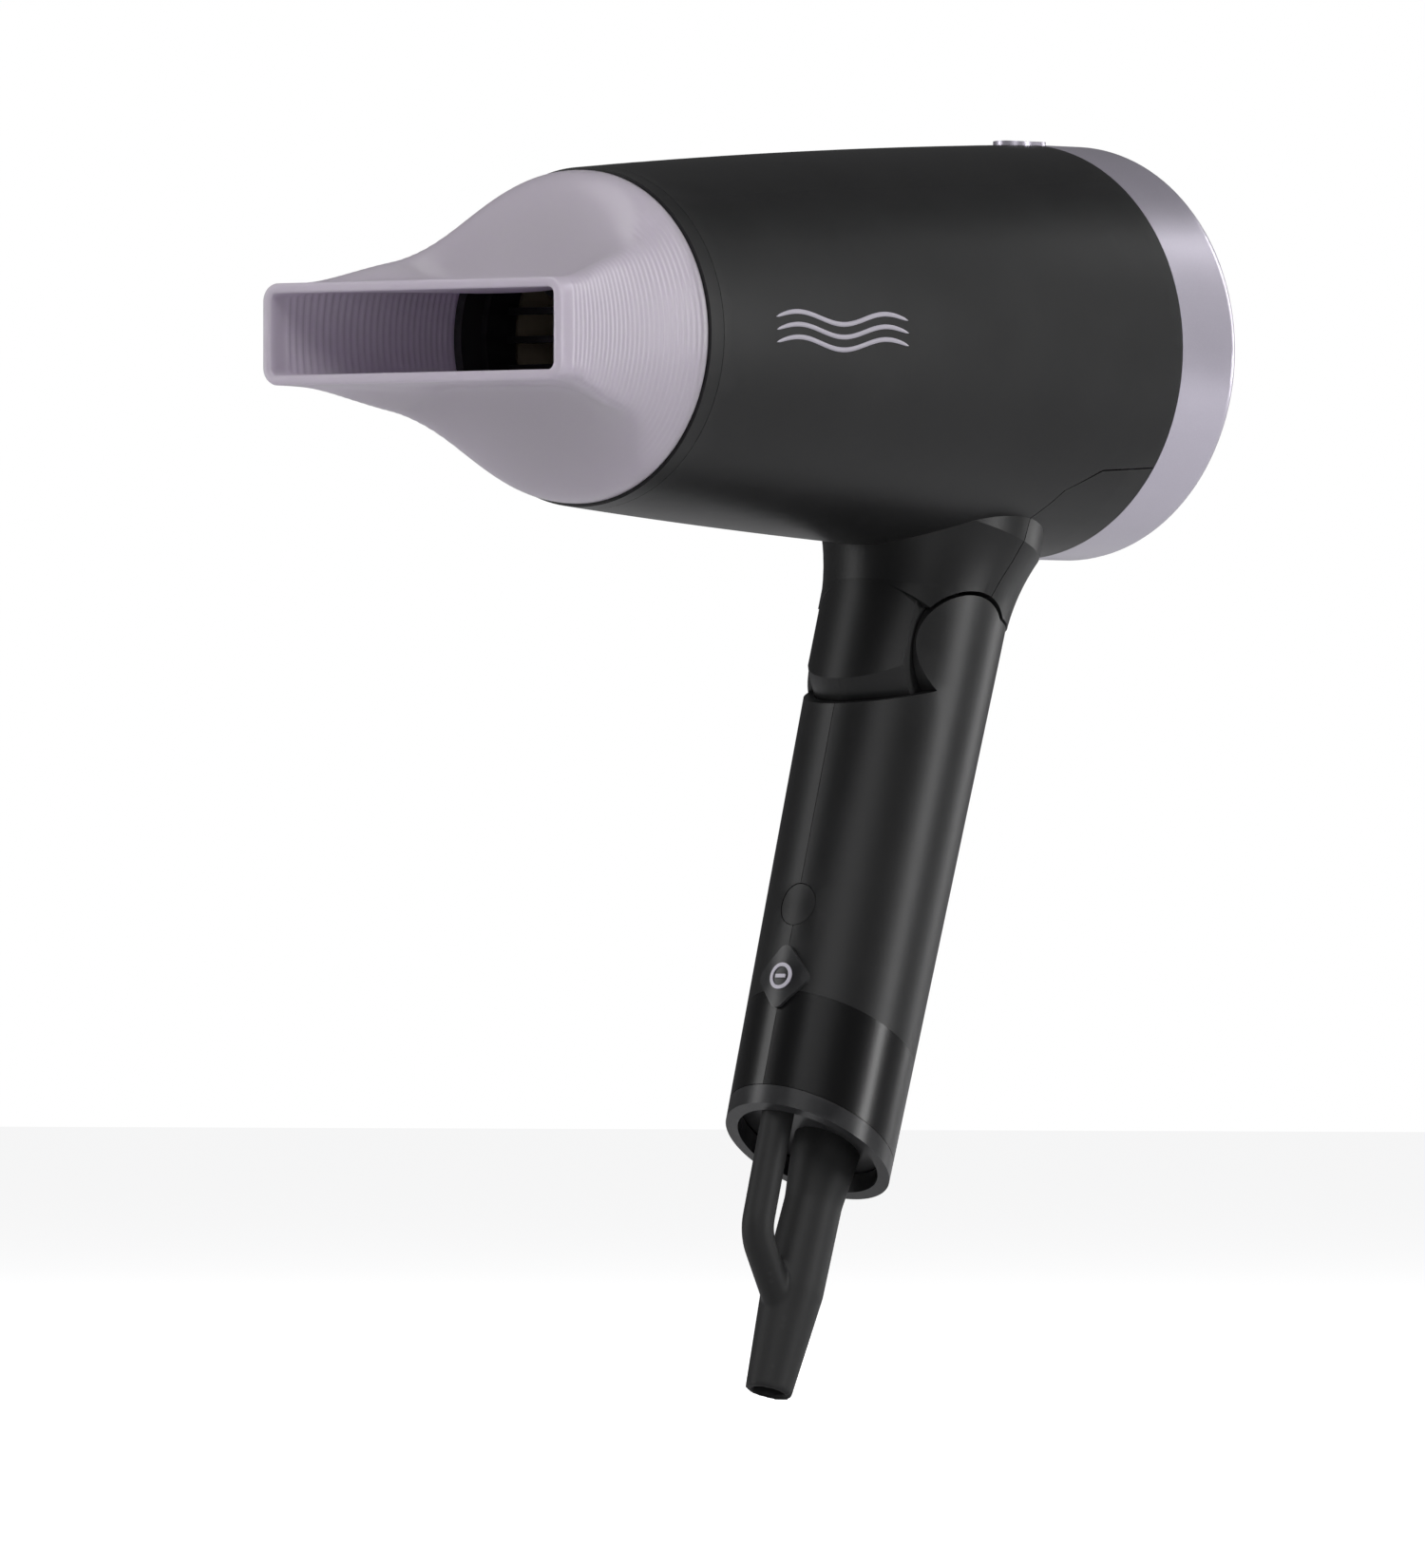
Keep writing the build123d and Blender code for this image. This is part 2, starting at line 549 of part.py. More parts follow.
def motor_board():
    """Round board with the motor's suppression parts, on the front of the can."""
    x1 = MOTOR_REAR_X - MOTOR_LEN
    board = tube_x(MOTOR_R - 0.5, BUSH_R + 0.6, x1 - 1.6, x1)
    for angle in (40, 160, 280):
        board += Location((x1 - 3.2, 0, 0), (angle, 0, 0)) * (Location((0, 0, 9)) * Box(3.6, 4.5, 3.2))
    return board


def heater_frame():
    """Crossed mica boards that carry the heating wire."""
    length = HEATER_REAR_X - HEATER_FRONT_X
    mid = (HEATER_REAR_X + HEATER_FRONT_X) / 2
    width = 2 * (MICA_R - MICA_T) - 0.4
    one = Location((mid, 0, 0)) * Box(length, 0.8, width)
    two = Location((mid, 0, 0)) * Box(length, width, 0.8)
    return one + two


def heater_coils():
    """Rows of heating wire wound round the mica cross."""
    pitch = (HEATER_REAR_X - HEATER_FRONT_X - 8) / (COIL_ROWS - 1)
    rows = []
    cross = Box(BIG / 4, 0.8, BIG / 4) + Box(BIG / 4, BIG / 4, 0.8)
    for i in range(COIL_ROWS):
        x = HEATER_FRONT_X + 4 + pitch * i
        ring = Location((x, 0, 0), (0, 90, 0)) * Torus(COIL_R, COIL_WIRE)
        rows += (ring - Location((x, 0, 0)) * cross).solids()
    return rows


def mica_sleeve():
    """Rolled mica liner between the heater and the barrel."""
    return tube_x(MICA_R, MICA_R - MICA_T, HEATER_FRONT_X - 1, HEATER_REAR_X + 1)


def thermostat():
    """Bimetal cut-out on the mica cross."""
    return Location((HEATER_REAR_X - 7, 6.6, 5.4)) * Box(8, 5, 3)


def thermal_fuse():
    """One-shot fuse on the mica cross."""
    return Location((HEATER_REAR_X - 8, -7, 4.2), (0, 90, 0)) * Cylinder(1.6, 11)


# ----------------------------------------------------------------------- handle
def window_prism(fit):
    """Control window on the rear of the handle, in the handle frame."""
    mid = -(WINDOW_TOP + WINDOW_LEN / 2)
    length = WINDOW_LEN - 2 * fit
    half = WINDOW_HALF - fit
    block = Location((30, 0, mid)) * Box(44, 2 * half, length)
    return fillet(block.edges().filter_by(Axis.X), 3.0)


def handle_shell():
    """Left half of the grip, in the handle frame; the right half is its mirror image."""
    s_top = PIVOT_S - LIP_RISE - 10
    s_low = HANDLE_END + 12
    body = grip_solid(0, s_top, s_low) & prism_y(rim_outline(), -BIG / 2, BIG / 2)
    body &= end_half_space(END_RING_T + SEAM)
    cavity_top = PIVOT_S + RIM_DROP - 2.0
    body -= grip_solid(SHELL_WALL, cavity_top, s_low + 1)
    open_top = grip_solid(SHELL_WALL, s_top - 1, cavity_top + 1)
    body -= open_top & (Location((0, 0, -cavity_top)) * Box(BIG, 2 * CHEEK_IN, BIG))
    base_s, crown_s = rim_line()
    mouth = polygon([(-REACH, -base_s), (-PIVOT_F, -crown_s), (-PIVOT_F, 0), (-REACH, 0)])
    body -= prism_y(mouth, -CHEEK_IN, CHEEK_IN)
    body -= window_prism(0)
    body -= Location((-PIVOT_F, 0, -PIVOT_S), (90, 0, 0)) * Cylinder(PIN_R, 2 * PIN_HALF)
    plug_x = -grip_radius(PLUG_S)
    body -= Location((plug_x, 0, -PLUG_S), (0, 90, 0)) * Cylinder(PLUG_R, 2.4)
    body -= Location((plug_x, 0, -PLUG_S), (0, 90, 0)) * Cylinder(SCREW_R + 0.2, 12)
    half = Location((0, -(BIG / 4 + SEAM / 2), 0)) * Box(BIG, BIG / 2, BIG)
    return body & half


def screw_plug():
    """Round plug over the front screw, following the grip's surface."""
    x = -grip_radius(PLUG_S)
    plug = Location((x, 0, -PLUG_S), (0, 90, 0)) * Cylinder(PLUG_R - 0.15, 2.4)
    return plug & grip_solid(0.1, PLUG_S - 20, PLUG_S + 20)


def chassis():
    """Moulded frame between the shells that the front screw pulls on."""
    bar = Location((-6.6, 0, -PLUG_S)) * Box(14, 9, 8)
    bar &= grip_solid(SHELL_WALL + 0.05, PLUG_S - 20, PLUG_S + 20)
    hole = Location((-10, 0, -PLUG_S), (0, 90, 0)) * Cylinder(SCREW_R, 12)
    return bar - hole


def front_screw():
    """Screw under the plug, from the front into the chassis."""
    seat = -grip_radius(PLUG_S) + 1.2
    head = Location((seat + 0.4, 0, -PLUG_S), (0, 90, 0)) * Cylinder(SCREW_R + 0.1, 0.8)
    shank = Location((seat + 5.0, 0, -PLUG_S), (0, 90, 0)) * Cylinder(SCREW_R, 10)
    return head + shank


def badge():
    """Raised diamond with rounded corners, on the front of the grip, and its emblem."""
    x = -grip_radius(BADGE_S)
    lean = math.degrees(math.atan(HANDLE_TAPER))
    plane = Plane(origin=(x, 0, -BADGE_S), x_dir=(0, -1, 0), z_dir=(-1, 0, 0)).rotated((0, -lean, 0))
    half_w, half_h = BADGE_W / 2, BADGE_H / 2
    diamond = polygon([(half_w, 0), (0, half_h), (-half_w, 0), (0, -half_h)])
    diamond = fillet(diamond.vertices(), 1.8)
    pad = extrude(plane.offset(-3) * diamond, amount=3 + BADGE_T + 2)
    pad &= grip_solid(-BADGE_T, BADGE_S - 20, BADGE_S + 20) - grip_solid(0, BADGE_S - 21, BADGE_S + 21)
    ring = Circle(2.6) - Circle(1.9)
    wave = Rectangle(2.4, 0.7)
    icon = extrude(plane.offset(-1) * (ring + wave), amount=8)
    emblem = icon & (grip_solid(-BADGE_T - 0.25, BADGE_S - 20, BADGE_S + 20)
                     - grip_solid(-BADGE_T, BADGE_S - 21, BADGE_S + 21))
    return pad, emblem


def switch_panel():
    """Panel in the control window with the slider's slot and the button's hole."""
    panel = grip_solid(PANEL_SINK, WINDOW_TOP - 5, WINDOW_TOP + WINDOW_LEN + 5)
    panel -= grip_solid(PANEL_SINK + PANEL_T, WINDOW_TOP - 6, WINDOW_TOP + WINDOW_LEN + 6)
    panel &= window_prism(PANEL_FIT)
    length = SLIDE_STEM_L + SLIDE_TRAVEL + 2 * MOVE_GAP
    mid = -(SLIDE_S + SLIDE_TRAVEL / 2)
    panel -= Location((20, 0, mid)) * Box(20, SLIDE_STEM_W + 2 * MOVE_GAP, length)
    return panel - Location((20, 0, -BUTTON_S), (0, 90, 0)) * Cylinder(BUTTON_R + MOVE_GAP, 20)


def slider_knob():
    """Ridged thumb slide on its stem."""
    surface = grip_radius(SLIDE_S) - PANEL_SINK + MOVE_GAP
    cap = grip_solid(-SLIDE_CAP_H, SLIDE_S - 20, SLIDE_S + 20)
    cap -= grip_solid(PANEL_SINK - MOVE_GAP, SLIDE_S - 21, SLIDE_S + 21)
    cap &= Location((surface, 0, -SLIDE_S)) * Box(20, SLIDE_CAP_W, SLIDE_CAP_L)
    for i in range(-2, 3):
        groove_at = (grip_radius(SLIDE_S) + SLIDE_CAP_H, 0, -SLIDE_S + 1.7 * i)
        cap -= Location(groove_at) * Box(1.2, BIG / 4, 0.7)
    stem_in = SWITCH_FACE + 0.3
    stem_out = surface + 1
    stem = Box(stem_out - stem_in, SLIDE_STEM_W, SLIDE_STEM_L)
    return cap + Location(((stem_out + stem_in) / 2, 0, -SLIDE_S)) * stem


def slide_switch():
    mid = -(SLIDE_S + SLIDE_TRAVEL / 2)
    depth = SWITCH_FACE - SWITCH_BACK
    return Location(((SWITCH_FACE + SWITCH_BACK) / 2, 0, mid)) * Box(depth, 12, 20)


def cool_switch():
    face = SWITCH_FACE - 3.0
    return Location(((face + SWITCH_BACK) / 2, 0, -BUTTON_S)) * Box(face - SWITCH_BACK, 9, 9)


def cool_button():
    """Round button with a retaining flange under the panel."""
    outer = grip_radius(BUTTON_S) + 1.4
    inner = SWITCH_FACE + 0.6
    pill = Location(((outer + inner) / 2, 0, -BUTTON_S), (0, 90, 0)) * Cylinder(BUTTON_R, outer - inner)
    pill = fillet(pill.edges().group_by(Axis.X)[-1], 0.8)
    flange_x = grip_radius(BUTTON_S) - PANEL_SINK - PANEL_T - 2.2
    pill -= Location((inner, 0, -BUTTON_S), (0, 90, 0)) * Cylinder(SPRING_R + MOVE_GAP, 2 * SPRING_DEEP)
    return pill + Location((flange_x, 0, -BUTTON_S), (0, 90, 0)) * (
        Cylinder(BUTTON_R + 1.0, 1.0) - Cylinder(SPRING_R + MOVE_GAP, 2))


def button_spring():
    """Coil spring inside the button, as a plain sleeve at its pressed length."""
    low = SWITCH_FACE - 3.0
    high = SWITCH_FACE + 0.6 + SPRING_DEEP - BUTTON_TRAVEL - 0.2
    spring = Cylinder(SPRING_R, high - low) - Cylinder(SPRING_R - 0.7, high - low + 1)
    return Location(((low + high) / 2, 0, -BUTTON_S), (0, 90, 0)) * spring


def control_board():
    mid = -(BOARD_TOP + BOARD_LEN / 2)
    return Location((SWITCH_BACK - BOARD_T / 2, 0, mid)) * Box(BOARD_T, 22, BOARD_LEN)


def board_parts():
    """Capacitor and rectifier diodes on the front of the board."""
    face = SWITCH_BACK - BOARD_T
    capacitor = Location((face - 4, 0, -100)) * Box(8, 13, 10)
    diodes = []
    for i in range(4):
        diodes.append(Location((face - 1.4, -7.5 + 5 * i, -130), (0, 0, 0)) * Cylinder(1.4, 5))
    return capacitor, diodes


# --------------------------------------------------------------------- end ring
def end_ring():
    """Glossy ring at the foot of the grip, slanted to its axis."""
    s_low = HANDLE_END + 12
    ring = grip_solid(0, HANDLE_END - 20, s_low) & end_half_space(0)
    ring -= end_half_space(END_RING_T)
    return ring - grip_solid(SHELL_WALL + 0.4, HANDLE_END - 21, s_low + 1)


def run_location(start, end):
    """Place at the start of a run in the handle's middle plane, with -Z along the run."""
    angle = math.degrees(math.atan2(start[0] - end[0], start[1] - end[1]))
    return Location((start[0], 0, start[1]), (0, angle, 0))


def relief_and_loop():
    """Rubber strain relief and hanging loop as one moulding."""
    place = run_location(RELIEF_ROOT, RELIEF_TIP)
    length = math.dist(RELIEF_ROOT, RELIEF_TIP)
    outline = [(0, 4), (RELIEF_ROOT_R, 4), (RELIEF_ROOT_R, -2), (RELIEF_MID_R, -12),
               (RELIEF_LOW_R, -30), (RELIEF_TIP_R, -length), (0, -length)]
    relief = revolve(Plane.XZ * polygon(outline), Axis.Z)
    relief = place * relief
    route = FilletPolyline((LOOP_TOP[0], 0, LOOP_TOP[1]), (LOOP_BEND[0], 0, LOOP_BEND[1]),
                           (LOOP_FOOT[0], 0, LOOP_FOOT[1]), radius=8)
    start = Plane(origin=route @ 0, z_dir=route % 0)
    arm = sweep(start * Circle(LOOP_WIRE_R), path=route)
    moulding = relief + arm
    bore = place * Location((0, 0, -length / 2)) * Cylinder(CORD_R, length + 30)
    return moulding - bore


def moulding_holes():
    """Holes in the end plate for the relief's root and the loop's arm."""
    root = run_location(RELIEF_ROOT, RELIEF_TIP) * Cylinder(RELIEF_ROOT_R, 60)
    arm = run_location(LOOP_TOP, LOOP_BEND) * Cylinder(LOOP_WIRE_R, 60)
    return root + arm


def end_plate():
    """Plate recessed inside the end ring, with holes for the moulding."""
    s_low = HANDLE_END + 12
    plate = grip_solid(SHELL_WALL + 0.1, HANDLE_END - 20, s_low) & end_half_space(END_RECESS)
    plate -= end_half_space(END_RECESS + 2.5)
    plate &= grip_solid(SHELL_WALL + 0.1, HANDLE_END - 20, s_low)
    return plate


def cord_clamp():
    """Saddle that grips the cord above the strain relief."""
    saddle = Location((CLAMP_X, 0, -CLAMP_S)) * Box(CLAMP_T, 16, 7)
    saddle -= Location((RELIEF_ROOT[0] + 0.4, 0, -CLAMP_S)) * Cylinder(CORD_R, 20)
    for y in (-CLAMP_SCREW_Y, CLAMP_SCREW_Y):
        saddle -= Location((CLAMP_X, y, -CLAMP_S), (0, 90, 0)) * Cylinder(CLAMP_SCREW_R, 20)
    return saddle


def clamp_screws():
    """Two screws through the saddle."""
    screws = []
    head_x = CLAMP_X + CLAMP_T / 2 + 0.6
    for y in (-CLAMP_SCREW_Y, CLAMP_SCREW_Y):
        shank = Location((CLAMP_X, y, -CLAMP_S), (0, 90, 0)) * Cylinder(CLAMP_SCREW_R, CLAMP_T)
        head = Location((head_x, y, -CLAMP_S), (0, 90, 0)) * Cylinder(1.9, 1.2)
        screws.append(shank + head)
    return screws


# ---------------------------------------------------------------- write it all
def save(name, shape):
    """Write one node, whether one solid or several alike."""
    if isinstance(shape, list):
        shape = Compound(children=list(shape))
    export_step(shape, f"parts/{name}.step")


def main():
    os.makedirs("parts", exist_ok=True)
    shell = head_shell()
    sleeve, cover = barrel_parts(shell)
    save("barrel_sleeve", sleeve)
    save("neck_rear_cover", cover)
    save("front_rim_ring", front_rim())
    save("outlet_grille", outlet_grille())
    save("rear_cap", rear_cap())
    save("intake_grille", intake_grille())
    save("dust_filter", dust_filter())
    save("top_tab", top_tab())
    save("nozzle", nozzle())
    save("nozzle_clip_ring", clip_ring())
    save("fan_duct", fan_duct())
    save("fan_impeller", fan_impeller())
    save("motor_shaft", motor_shaft())
    save("motor_can", motor_can())
    save("motor_end_bell", motor_end_bell())
    save("motor_bushes", motor_bushes())
    save("motor_armature", motor_armature())
    save("motor_magnets", motor_magnets())
    save("motor_board", motor_board())
    save("heater_frame", heater_frame())
    save("heater_coils", heater_coils())
    save("mica_sleeve", mica_sleeve())
    save("thermostat", thermostat())
    save("thermal_fuse", thermal_fuse())

    bush = Cylinder(PIN_R + PIN_RUN + BUSH_WALL, 2 * TONGUE_HALF)
    bush -= Cylinder(PIN_R + PIN_RUN, 2 * TONGUE_HALF + 1)
    save("hinge_pin", PIN_AXIS * Cylinder(PIN_R, 2 * PIN_HALF))
    save("hinge_bush", PIN_AXIS * bush)

    left = handle_shell()
    save("handle_left_shell", HANDLE * left)
    save("handle_right_shell", HANDLE * mirror(left, Plane.XZ))
    save("handle_end_ring", HANDLE * end_ring())
    moulding = relief_and_loop()
    save("strain_relief_loop", HANDLE * moulding)
    save("handle_end_plate", HANDLE * (end_plate() - moulding_holes()))
    save("cord_clamp", HANDLE * cord_clamp())
    save("cord_clamp_screws", [HANDLE * s for s in clamp_screws()])
    pad, emblem = badge()
    save("badge_plate", HANDLE * pad)
    save("badge_emblem", HANDLE * emblem)
    save("screw_plug", HANDLE * screw_plug())
    save("front_screw", HANDLE * front_screw())
    save("inner_chassis", HANDLE * chassis())
    save("switch_panel", HANDLE * switch_panel())
    save("speed_slider_knob", HANDLE * slider_knob())
    save("slide_switch_body", HANDLE * slide_switch())
    save("cool_switch_body", HANDLE * cool_switch())
    save("cool_shot_button", HANDLE * cool_button())
    save("cool_button_spring", HANDLE * button_spring())
    save("control_board", HANDLE * control_board())
    capacitor, diodes = board_parts()
    save("capacitor", HANDLE * capacitor)
    save("rectifier_diodes", [HANDLE * d for d in diodes])


main()
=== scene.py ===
import json
import math

import bmesh
import bpy
from mathutils import Matrix, Vector
from mathutils.bvhtree import BVHTree


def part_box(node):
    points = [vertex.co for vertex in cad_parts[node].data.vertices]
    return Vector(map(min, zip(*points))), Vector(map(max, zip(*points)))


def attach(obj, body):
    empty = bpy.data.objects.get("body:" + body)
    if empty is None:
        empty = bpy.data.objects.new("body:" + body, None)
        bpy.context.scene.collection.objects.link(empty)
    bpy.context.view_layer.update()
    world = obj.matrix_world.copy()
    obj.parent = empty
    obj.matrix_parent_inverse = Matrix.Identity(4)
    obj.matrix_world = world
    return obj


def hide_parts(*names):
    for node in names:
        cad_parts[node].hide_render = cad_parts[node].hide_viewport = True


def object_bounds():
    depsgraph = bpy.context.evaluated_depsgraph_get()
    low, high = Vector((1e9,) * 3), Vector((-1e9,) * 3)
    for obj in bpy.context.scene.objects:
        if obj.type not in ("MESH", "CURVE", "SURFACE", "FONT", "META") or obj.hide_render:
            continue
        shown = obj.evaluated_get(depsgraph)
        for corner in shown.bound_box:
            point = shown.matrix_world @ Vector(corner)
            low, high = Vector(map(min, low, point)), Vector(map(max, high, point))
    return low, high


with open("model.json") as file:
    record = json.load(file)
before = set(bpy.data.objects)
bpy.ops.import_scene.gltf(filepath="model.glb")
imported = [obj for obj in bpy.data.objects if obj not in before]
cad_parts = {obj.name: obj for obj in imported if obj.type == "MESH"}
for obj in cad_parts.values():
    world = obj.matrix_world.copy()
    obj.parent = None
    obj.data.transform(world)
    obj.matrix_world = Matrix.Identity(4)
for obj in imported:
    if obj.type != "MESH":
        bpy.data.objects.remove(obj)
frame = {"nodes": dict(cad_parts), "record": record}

bl_info = {
    "name": "Folding Hair Dryer",
    "version": (1, 0, 0),
    "blender": (4, 5, 0),
    "location": "View3D > Sidebar > Hair Dryer",
    "description": "Builds the finishes and moulded details of a folding travel hair dryer",
    "category": "Object",
}

CAD_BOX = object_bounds()
RIM_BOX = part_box("front_rim_ring")
NOZZLE_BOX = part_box("nozzle")
SLEEVE_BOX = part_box("barrel_sleeve")
END_RING_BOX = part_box("handle_end_ring")

# Concentrator: its root, ribs, scooped faces and slot
SLOT_HALF_HEIGHT = 0.0096
ROOT_SEGMENTS = 144
ROOT_STEP_IN = 0.0009        # root's radius inside the rim's
ROOT_LAND = 0.0002           # plain wall at the root
RIB_LEAD = 0.0004            # shift of the first rib from the root
RIB_TAIL = 0.0035            # length kept free of ribs at the slot
RIB_STEPS = 4                # rings in one rib
RIB_EDGE, RIB_SPREAD = 0.62, 0.16     # cosine where ribs start, and how soon they are full
RIB_FADE_END, RIB_FADE = 0.93, 0.03   # share of the length where the ribs die out
LIP_LAND = 0.0016            # plain wall before the lip
LIP_ROUND = 0.0004           # rounding of the lip
LIP_SHOULDER = 0.0001        # middle ring of the rounding, along and inwards
LIP_SHOULDER_IN = 0.00012
SCOOP_EDGE, SCOOP_SPREAD = 0.386, 0.621   # sine where the scoop starts, and its width
SCOOP_HASTE, SCOOP_EASE = 2.187, 1.46     # the scooped faces come down this much sooner
SIDE_EASE = 1.6
SLOT_SIDE_SHARE = 0.3        # share of a quarter turn spent on each flat of the slot

# Grip: the glossy band over the end ring
END_RING_HEIGHT = 0.004      # height of the ring itself, left out of its slant
BAND_BLEND = 0.00008
BAND_SHADE = 0.6
BAND_ROUGHNESS = 0.27

# Relief and loop
RELIEF_VOXEL = 0.0004
RELIEF_SMOOTHING, RELIEF_PASSES = 0.5, 7

# Airflow mark
MARK_STEPS = 48
MARK_SETBACK = 0.032         # middle of the mark behind the sleeve's front
MARK_RISE = 0.0012
WAVE_HEIGHT = 0.0011
WAVE_HALF_TURNS = 3
TAPER_POWER = 8
MARK_RAY_START = -0.05       # where the rays to the barrel start, on the Y axis
MARK_TOLERANCE = 0.003
INK_LIFT = 0.00006
INK_THICKNESS = 0.00005

# Stage
FLOOR_HALF_SIZE = 9.0
FLOOR_DROP = 0.0005
FLOOR_GLOW = 0.84
CAMERA_AZIMUTH, CAMERA_ELEVATION, CAMERA_DISTANCE = -50.1, -0.58, 4.5
CAMERA_AIM = (-0.0114, 0.0, -0.0037)
CAMERA_LENS = 544.2
LIGHTS = (
    # name, place from the middle, width, height, power
    ("key", (-1.1, -0.55, 1.25), 1.1, 0.8, 17.0),
    ("strip_right", (0.55, -1.35, 0.15), 0.22, 1.5, 17.0),
    ("fill_front", (-1.3, -1.2, -0.05), 0.7, 0.7, 3.6),
    ("rim_left", (-0.9, 1.1, 0.2), 0.35, 1.3, 7.0),
    ("rim_right", (1.3, -0.25, 0.25), 0.35, 1.2, 6.0),
    ("top", (0.1, 0.2, 1.5), 0.9, 0.9, 5.0),
)


# ------------------------------------------------------------------ settings
class NozzleSettings(bpy.types.PropertyGroup):
    """Sizes and colour of the ribbed concentrator"""

    wall: bpy.props.FloatProperty(
        name="Wall", description="Wall thickness of the concentrator",
        default=0.0019, unit="LENGTH")
    rib_pitch: bpy.props.FloatProperty(
        name="Rib pitch", description="Distance from one fine rib to the next",
        default=0.0016, unit="LENGTH")
    rib_depth: bpy.props.FloatProperty(
        name="Rib depth", description="Height of the fine ribs on the side walls",
        default=0.00022, unit="LENGTH")
    slot_corner: bpy.props.FloatProperty(
        name="Slot corner", description="Corner radius of the slot end",
        default=0.0034, unit="LENGTH")
    colour: bpy.props.FloatVectorProperty(
        name="Colour", description="Tint of the milky concentrator", subtype="COLOR", size=3,
        default=(0.56, 0.51, 0.59), min=0.0, max=1.0)


class CasingSettings(bpy.types.PropertyGroup):
    """Colours of the casing"""

    black: bpy.props.FloatVectorProperty(
        name="Black", description="Colour of the satin casing", subtype="COLOR", size=3,
        default=(0.0038, 0.0038, 0.0041), min=0.0, max=1.0)
    lilac: bpy.props.FloatVectorProperty(
        name="Lilac", description="Colour of the metallic rear cap", subtype="COLOR", size=3,
        default=(0.46, 0.43, 0.51), min=0.0, max=1.0)
    band_height: bpy.props.FloatProperty(
        name="Band height",
        description="Height of the glossy band above the middle of the end ring",
        default=0.0205, unit="LENGTH")


class MarkSettings(bpy.types.PropertyGroup):
    """Sizes of the printed airflow mark"""

    length: bpy.props.FloatProperty(
        name="Length", description="Length of the three waves", default=0.036, unit="LENGTH")
    line: bpy.props.FloatProperty(
        name="Line", description="Width of one wave's line", default=0.0009, unit="LENGTH")
    spacing: bpy.props.FloatProperty(
        name="Spacing", description="Distance from one wave to the next",
        default=0.0024, unit="LENGTH")


# ------------------------------------------------------------------ materials
def new_group(name, inputs, outputs):
    """Empty shader group with float inputs and the given outputs."""
    group = bpy.data.node_groups.new(name, "ShaderNodeTree")
    for label, value in inputs:
        socket = group.interface.new_socket(label, in_out="INPUT", socket_type="NodeSocketFloat")
        socket.default_value = value
    for label, kind in outputs:
        group.interface.new_socket(label, in_out="OUTPUT", socket_type=kind)
    return group, group.nodes.new("NodeGroupInput"), group.nodes.new("NodeGroupOutput")


def moulded_surface_group():
    """Fine tool grain, handling marks and dust specks of a moulding."""
    name = "moulded surface"
    if name in bpy.data.node_groups:
        return bpy.data.node_groups[name]
    group, given, out = new_group(
        name, [("Grain Scale", 2600.0), ("Mark Scale", 34.0)],
        [(label, "NodeSocketFloat") for label in ("Grain", "Marks", "Specks")])
    nodes, links = group.nodes, group.links
    place = nodes.new("ShaderNodeTexCoord")
    grain = nodes.new("ShaderNodeTexNoise")
    grain.inputs["Detail"].default_value = 3.0
    marks = nodes.new("ShaderNodeTexNoise")
    marks.inputs["Detail"].default_value = 6.0
    marks.inputs["Roughness"].default_value = 0.62
    specks = nodes.new("ShaderNodeTexVoronoi")
    specks.inputs["Scale"].default_value = 420.0
    small = nodes.new("ShaderNodeMapRange")
    small.inputs["From Min"].default_value = 0.05
    small.inputs["From Max"].default_value = 0.0
    for node in (grain, marks, specks):
        links.new(place.outputs["Object"], node.inputs["Vector"])
    links.new(given.outputs["Grain Scale"], grain.inputs["Scale"])
    links.new(given.outputs["Mark Scale"], marks.inputs["Scale"])
    links.new(specks.outputs["Distance"], small.inputs["Value"])
    links.new(grain.outputs["Fac"], out.inputs["Grain"])
    links.new(marks.outputs["Fac"], out.inputs["Marks"])
    links.new(small.outputs["Result"], out.inputs["Specks"])
    return group


def edge_wear_group():
    """Mask of rubbed edges, strongest where the surface turns sharply."""
    name = "edge wear"
    if name in bpy.data.node_groups:
        return bpy.data.node_groups[name]
    group, given, out = new_group(name, [("Scale", 180.0)], [("Wear", "NodeSocketFloat")])
    nodes, links = group.nodes, group.links
    place = nodes.new("ShaderNodeTexCoord")
    shape = nodes.new("ShaderNodeNewGeometry")
    turned = nodes.new("ShaderNodeMapRange")
    turned.inputs["From Min"].default_value = 0.52
    turned.inputs["From Max"].default_value = 0.64
    rub = nodes.new("ShaderNodeTexNoise")
    rub.inputs["Detail"].default_value = 4.0
    both = nodes.new("ShaderNodeMath")
    both.operation = "MULTIPLY"
    links.new(place.outputs["Object"], rub.inputs["Vector"])
    links.new(given.outputs["Scale"], rub.inputs["Scale"])
    links.new(shape.outputs["Pointiness"], turned.inputs["Value"])
    links.new(turned.outputs["Result"], both.inputs[0])
    links.new(rub.outputs["Fac"], both.inputs[1])
    links.new(both.outputs["Value"], out.inputs["Wear"])
    return group


def mixed_colour(tree, factor, low, high):
    """Colour that runs from low to high with a mask."""
    mix = tree.nodes.new("ShaderNodeMix")
    mix.data_type = "RGBA"
    mix.inputs["A"].default_value = (*low, 1.0)
    mix.inputs["B"].default_value = (*high, 1.0)
    tree.links.new(factor, mix.inputs["Factor"])
    return mix.outputs["Result"]


def tinted(tree, base, mask, colour):
    """Colour that runs from a base socket's to the given one with a mask."""
    mix = tree.nodes.new("ShaderNodeMix")
    mix.data_type = "RGBA"
    mix.inputs["B"].default_value = (*colour, 1.0)
    tree.links.new(base, mix.inputs["A"])
    tree.links.new(mask, mix.inputs["Factor"])
    return mix.outputs["Result"]


def lighter(colour, amount):
    """The colour with the same amount added to each channel."""
    return tuple(min(1.0, c + amount) for c in colour)


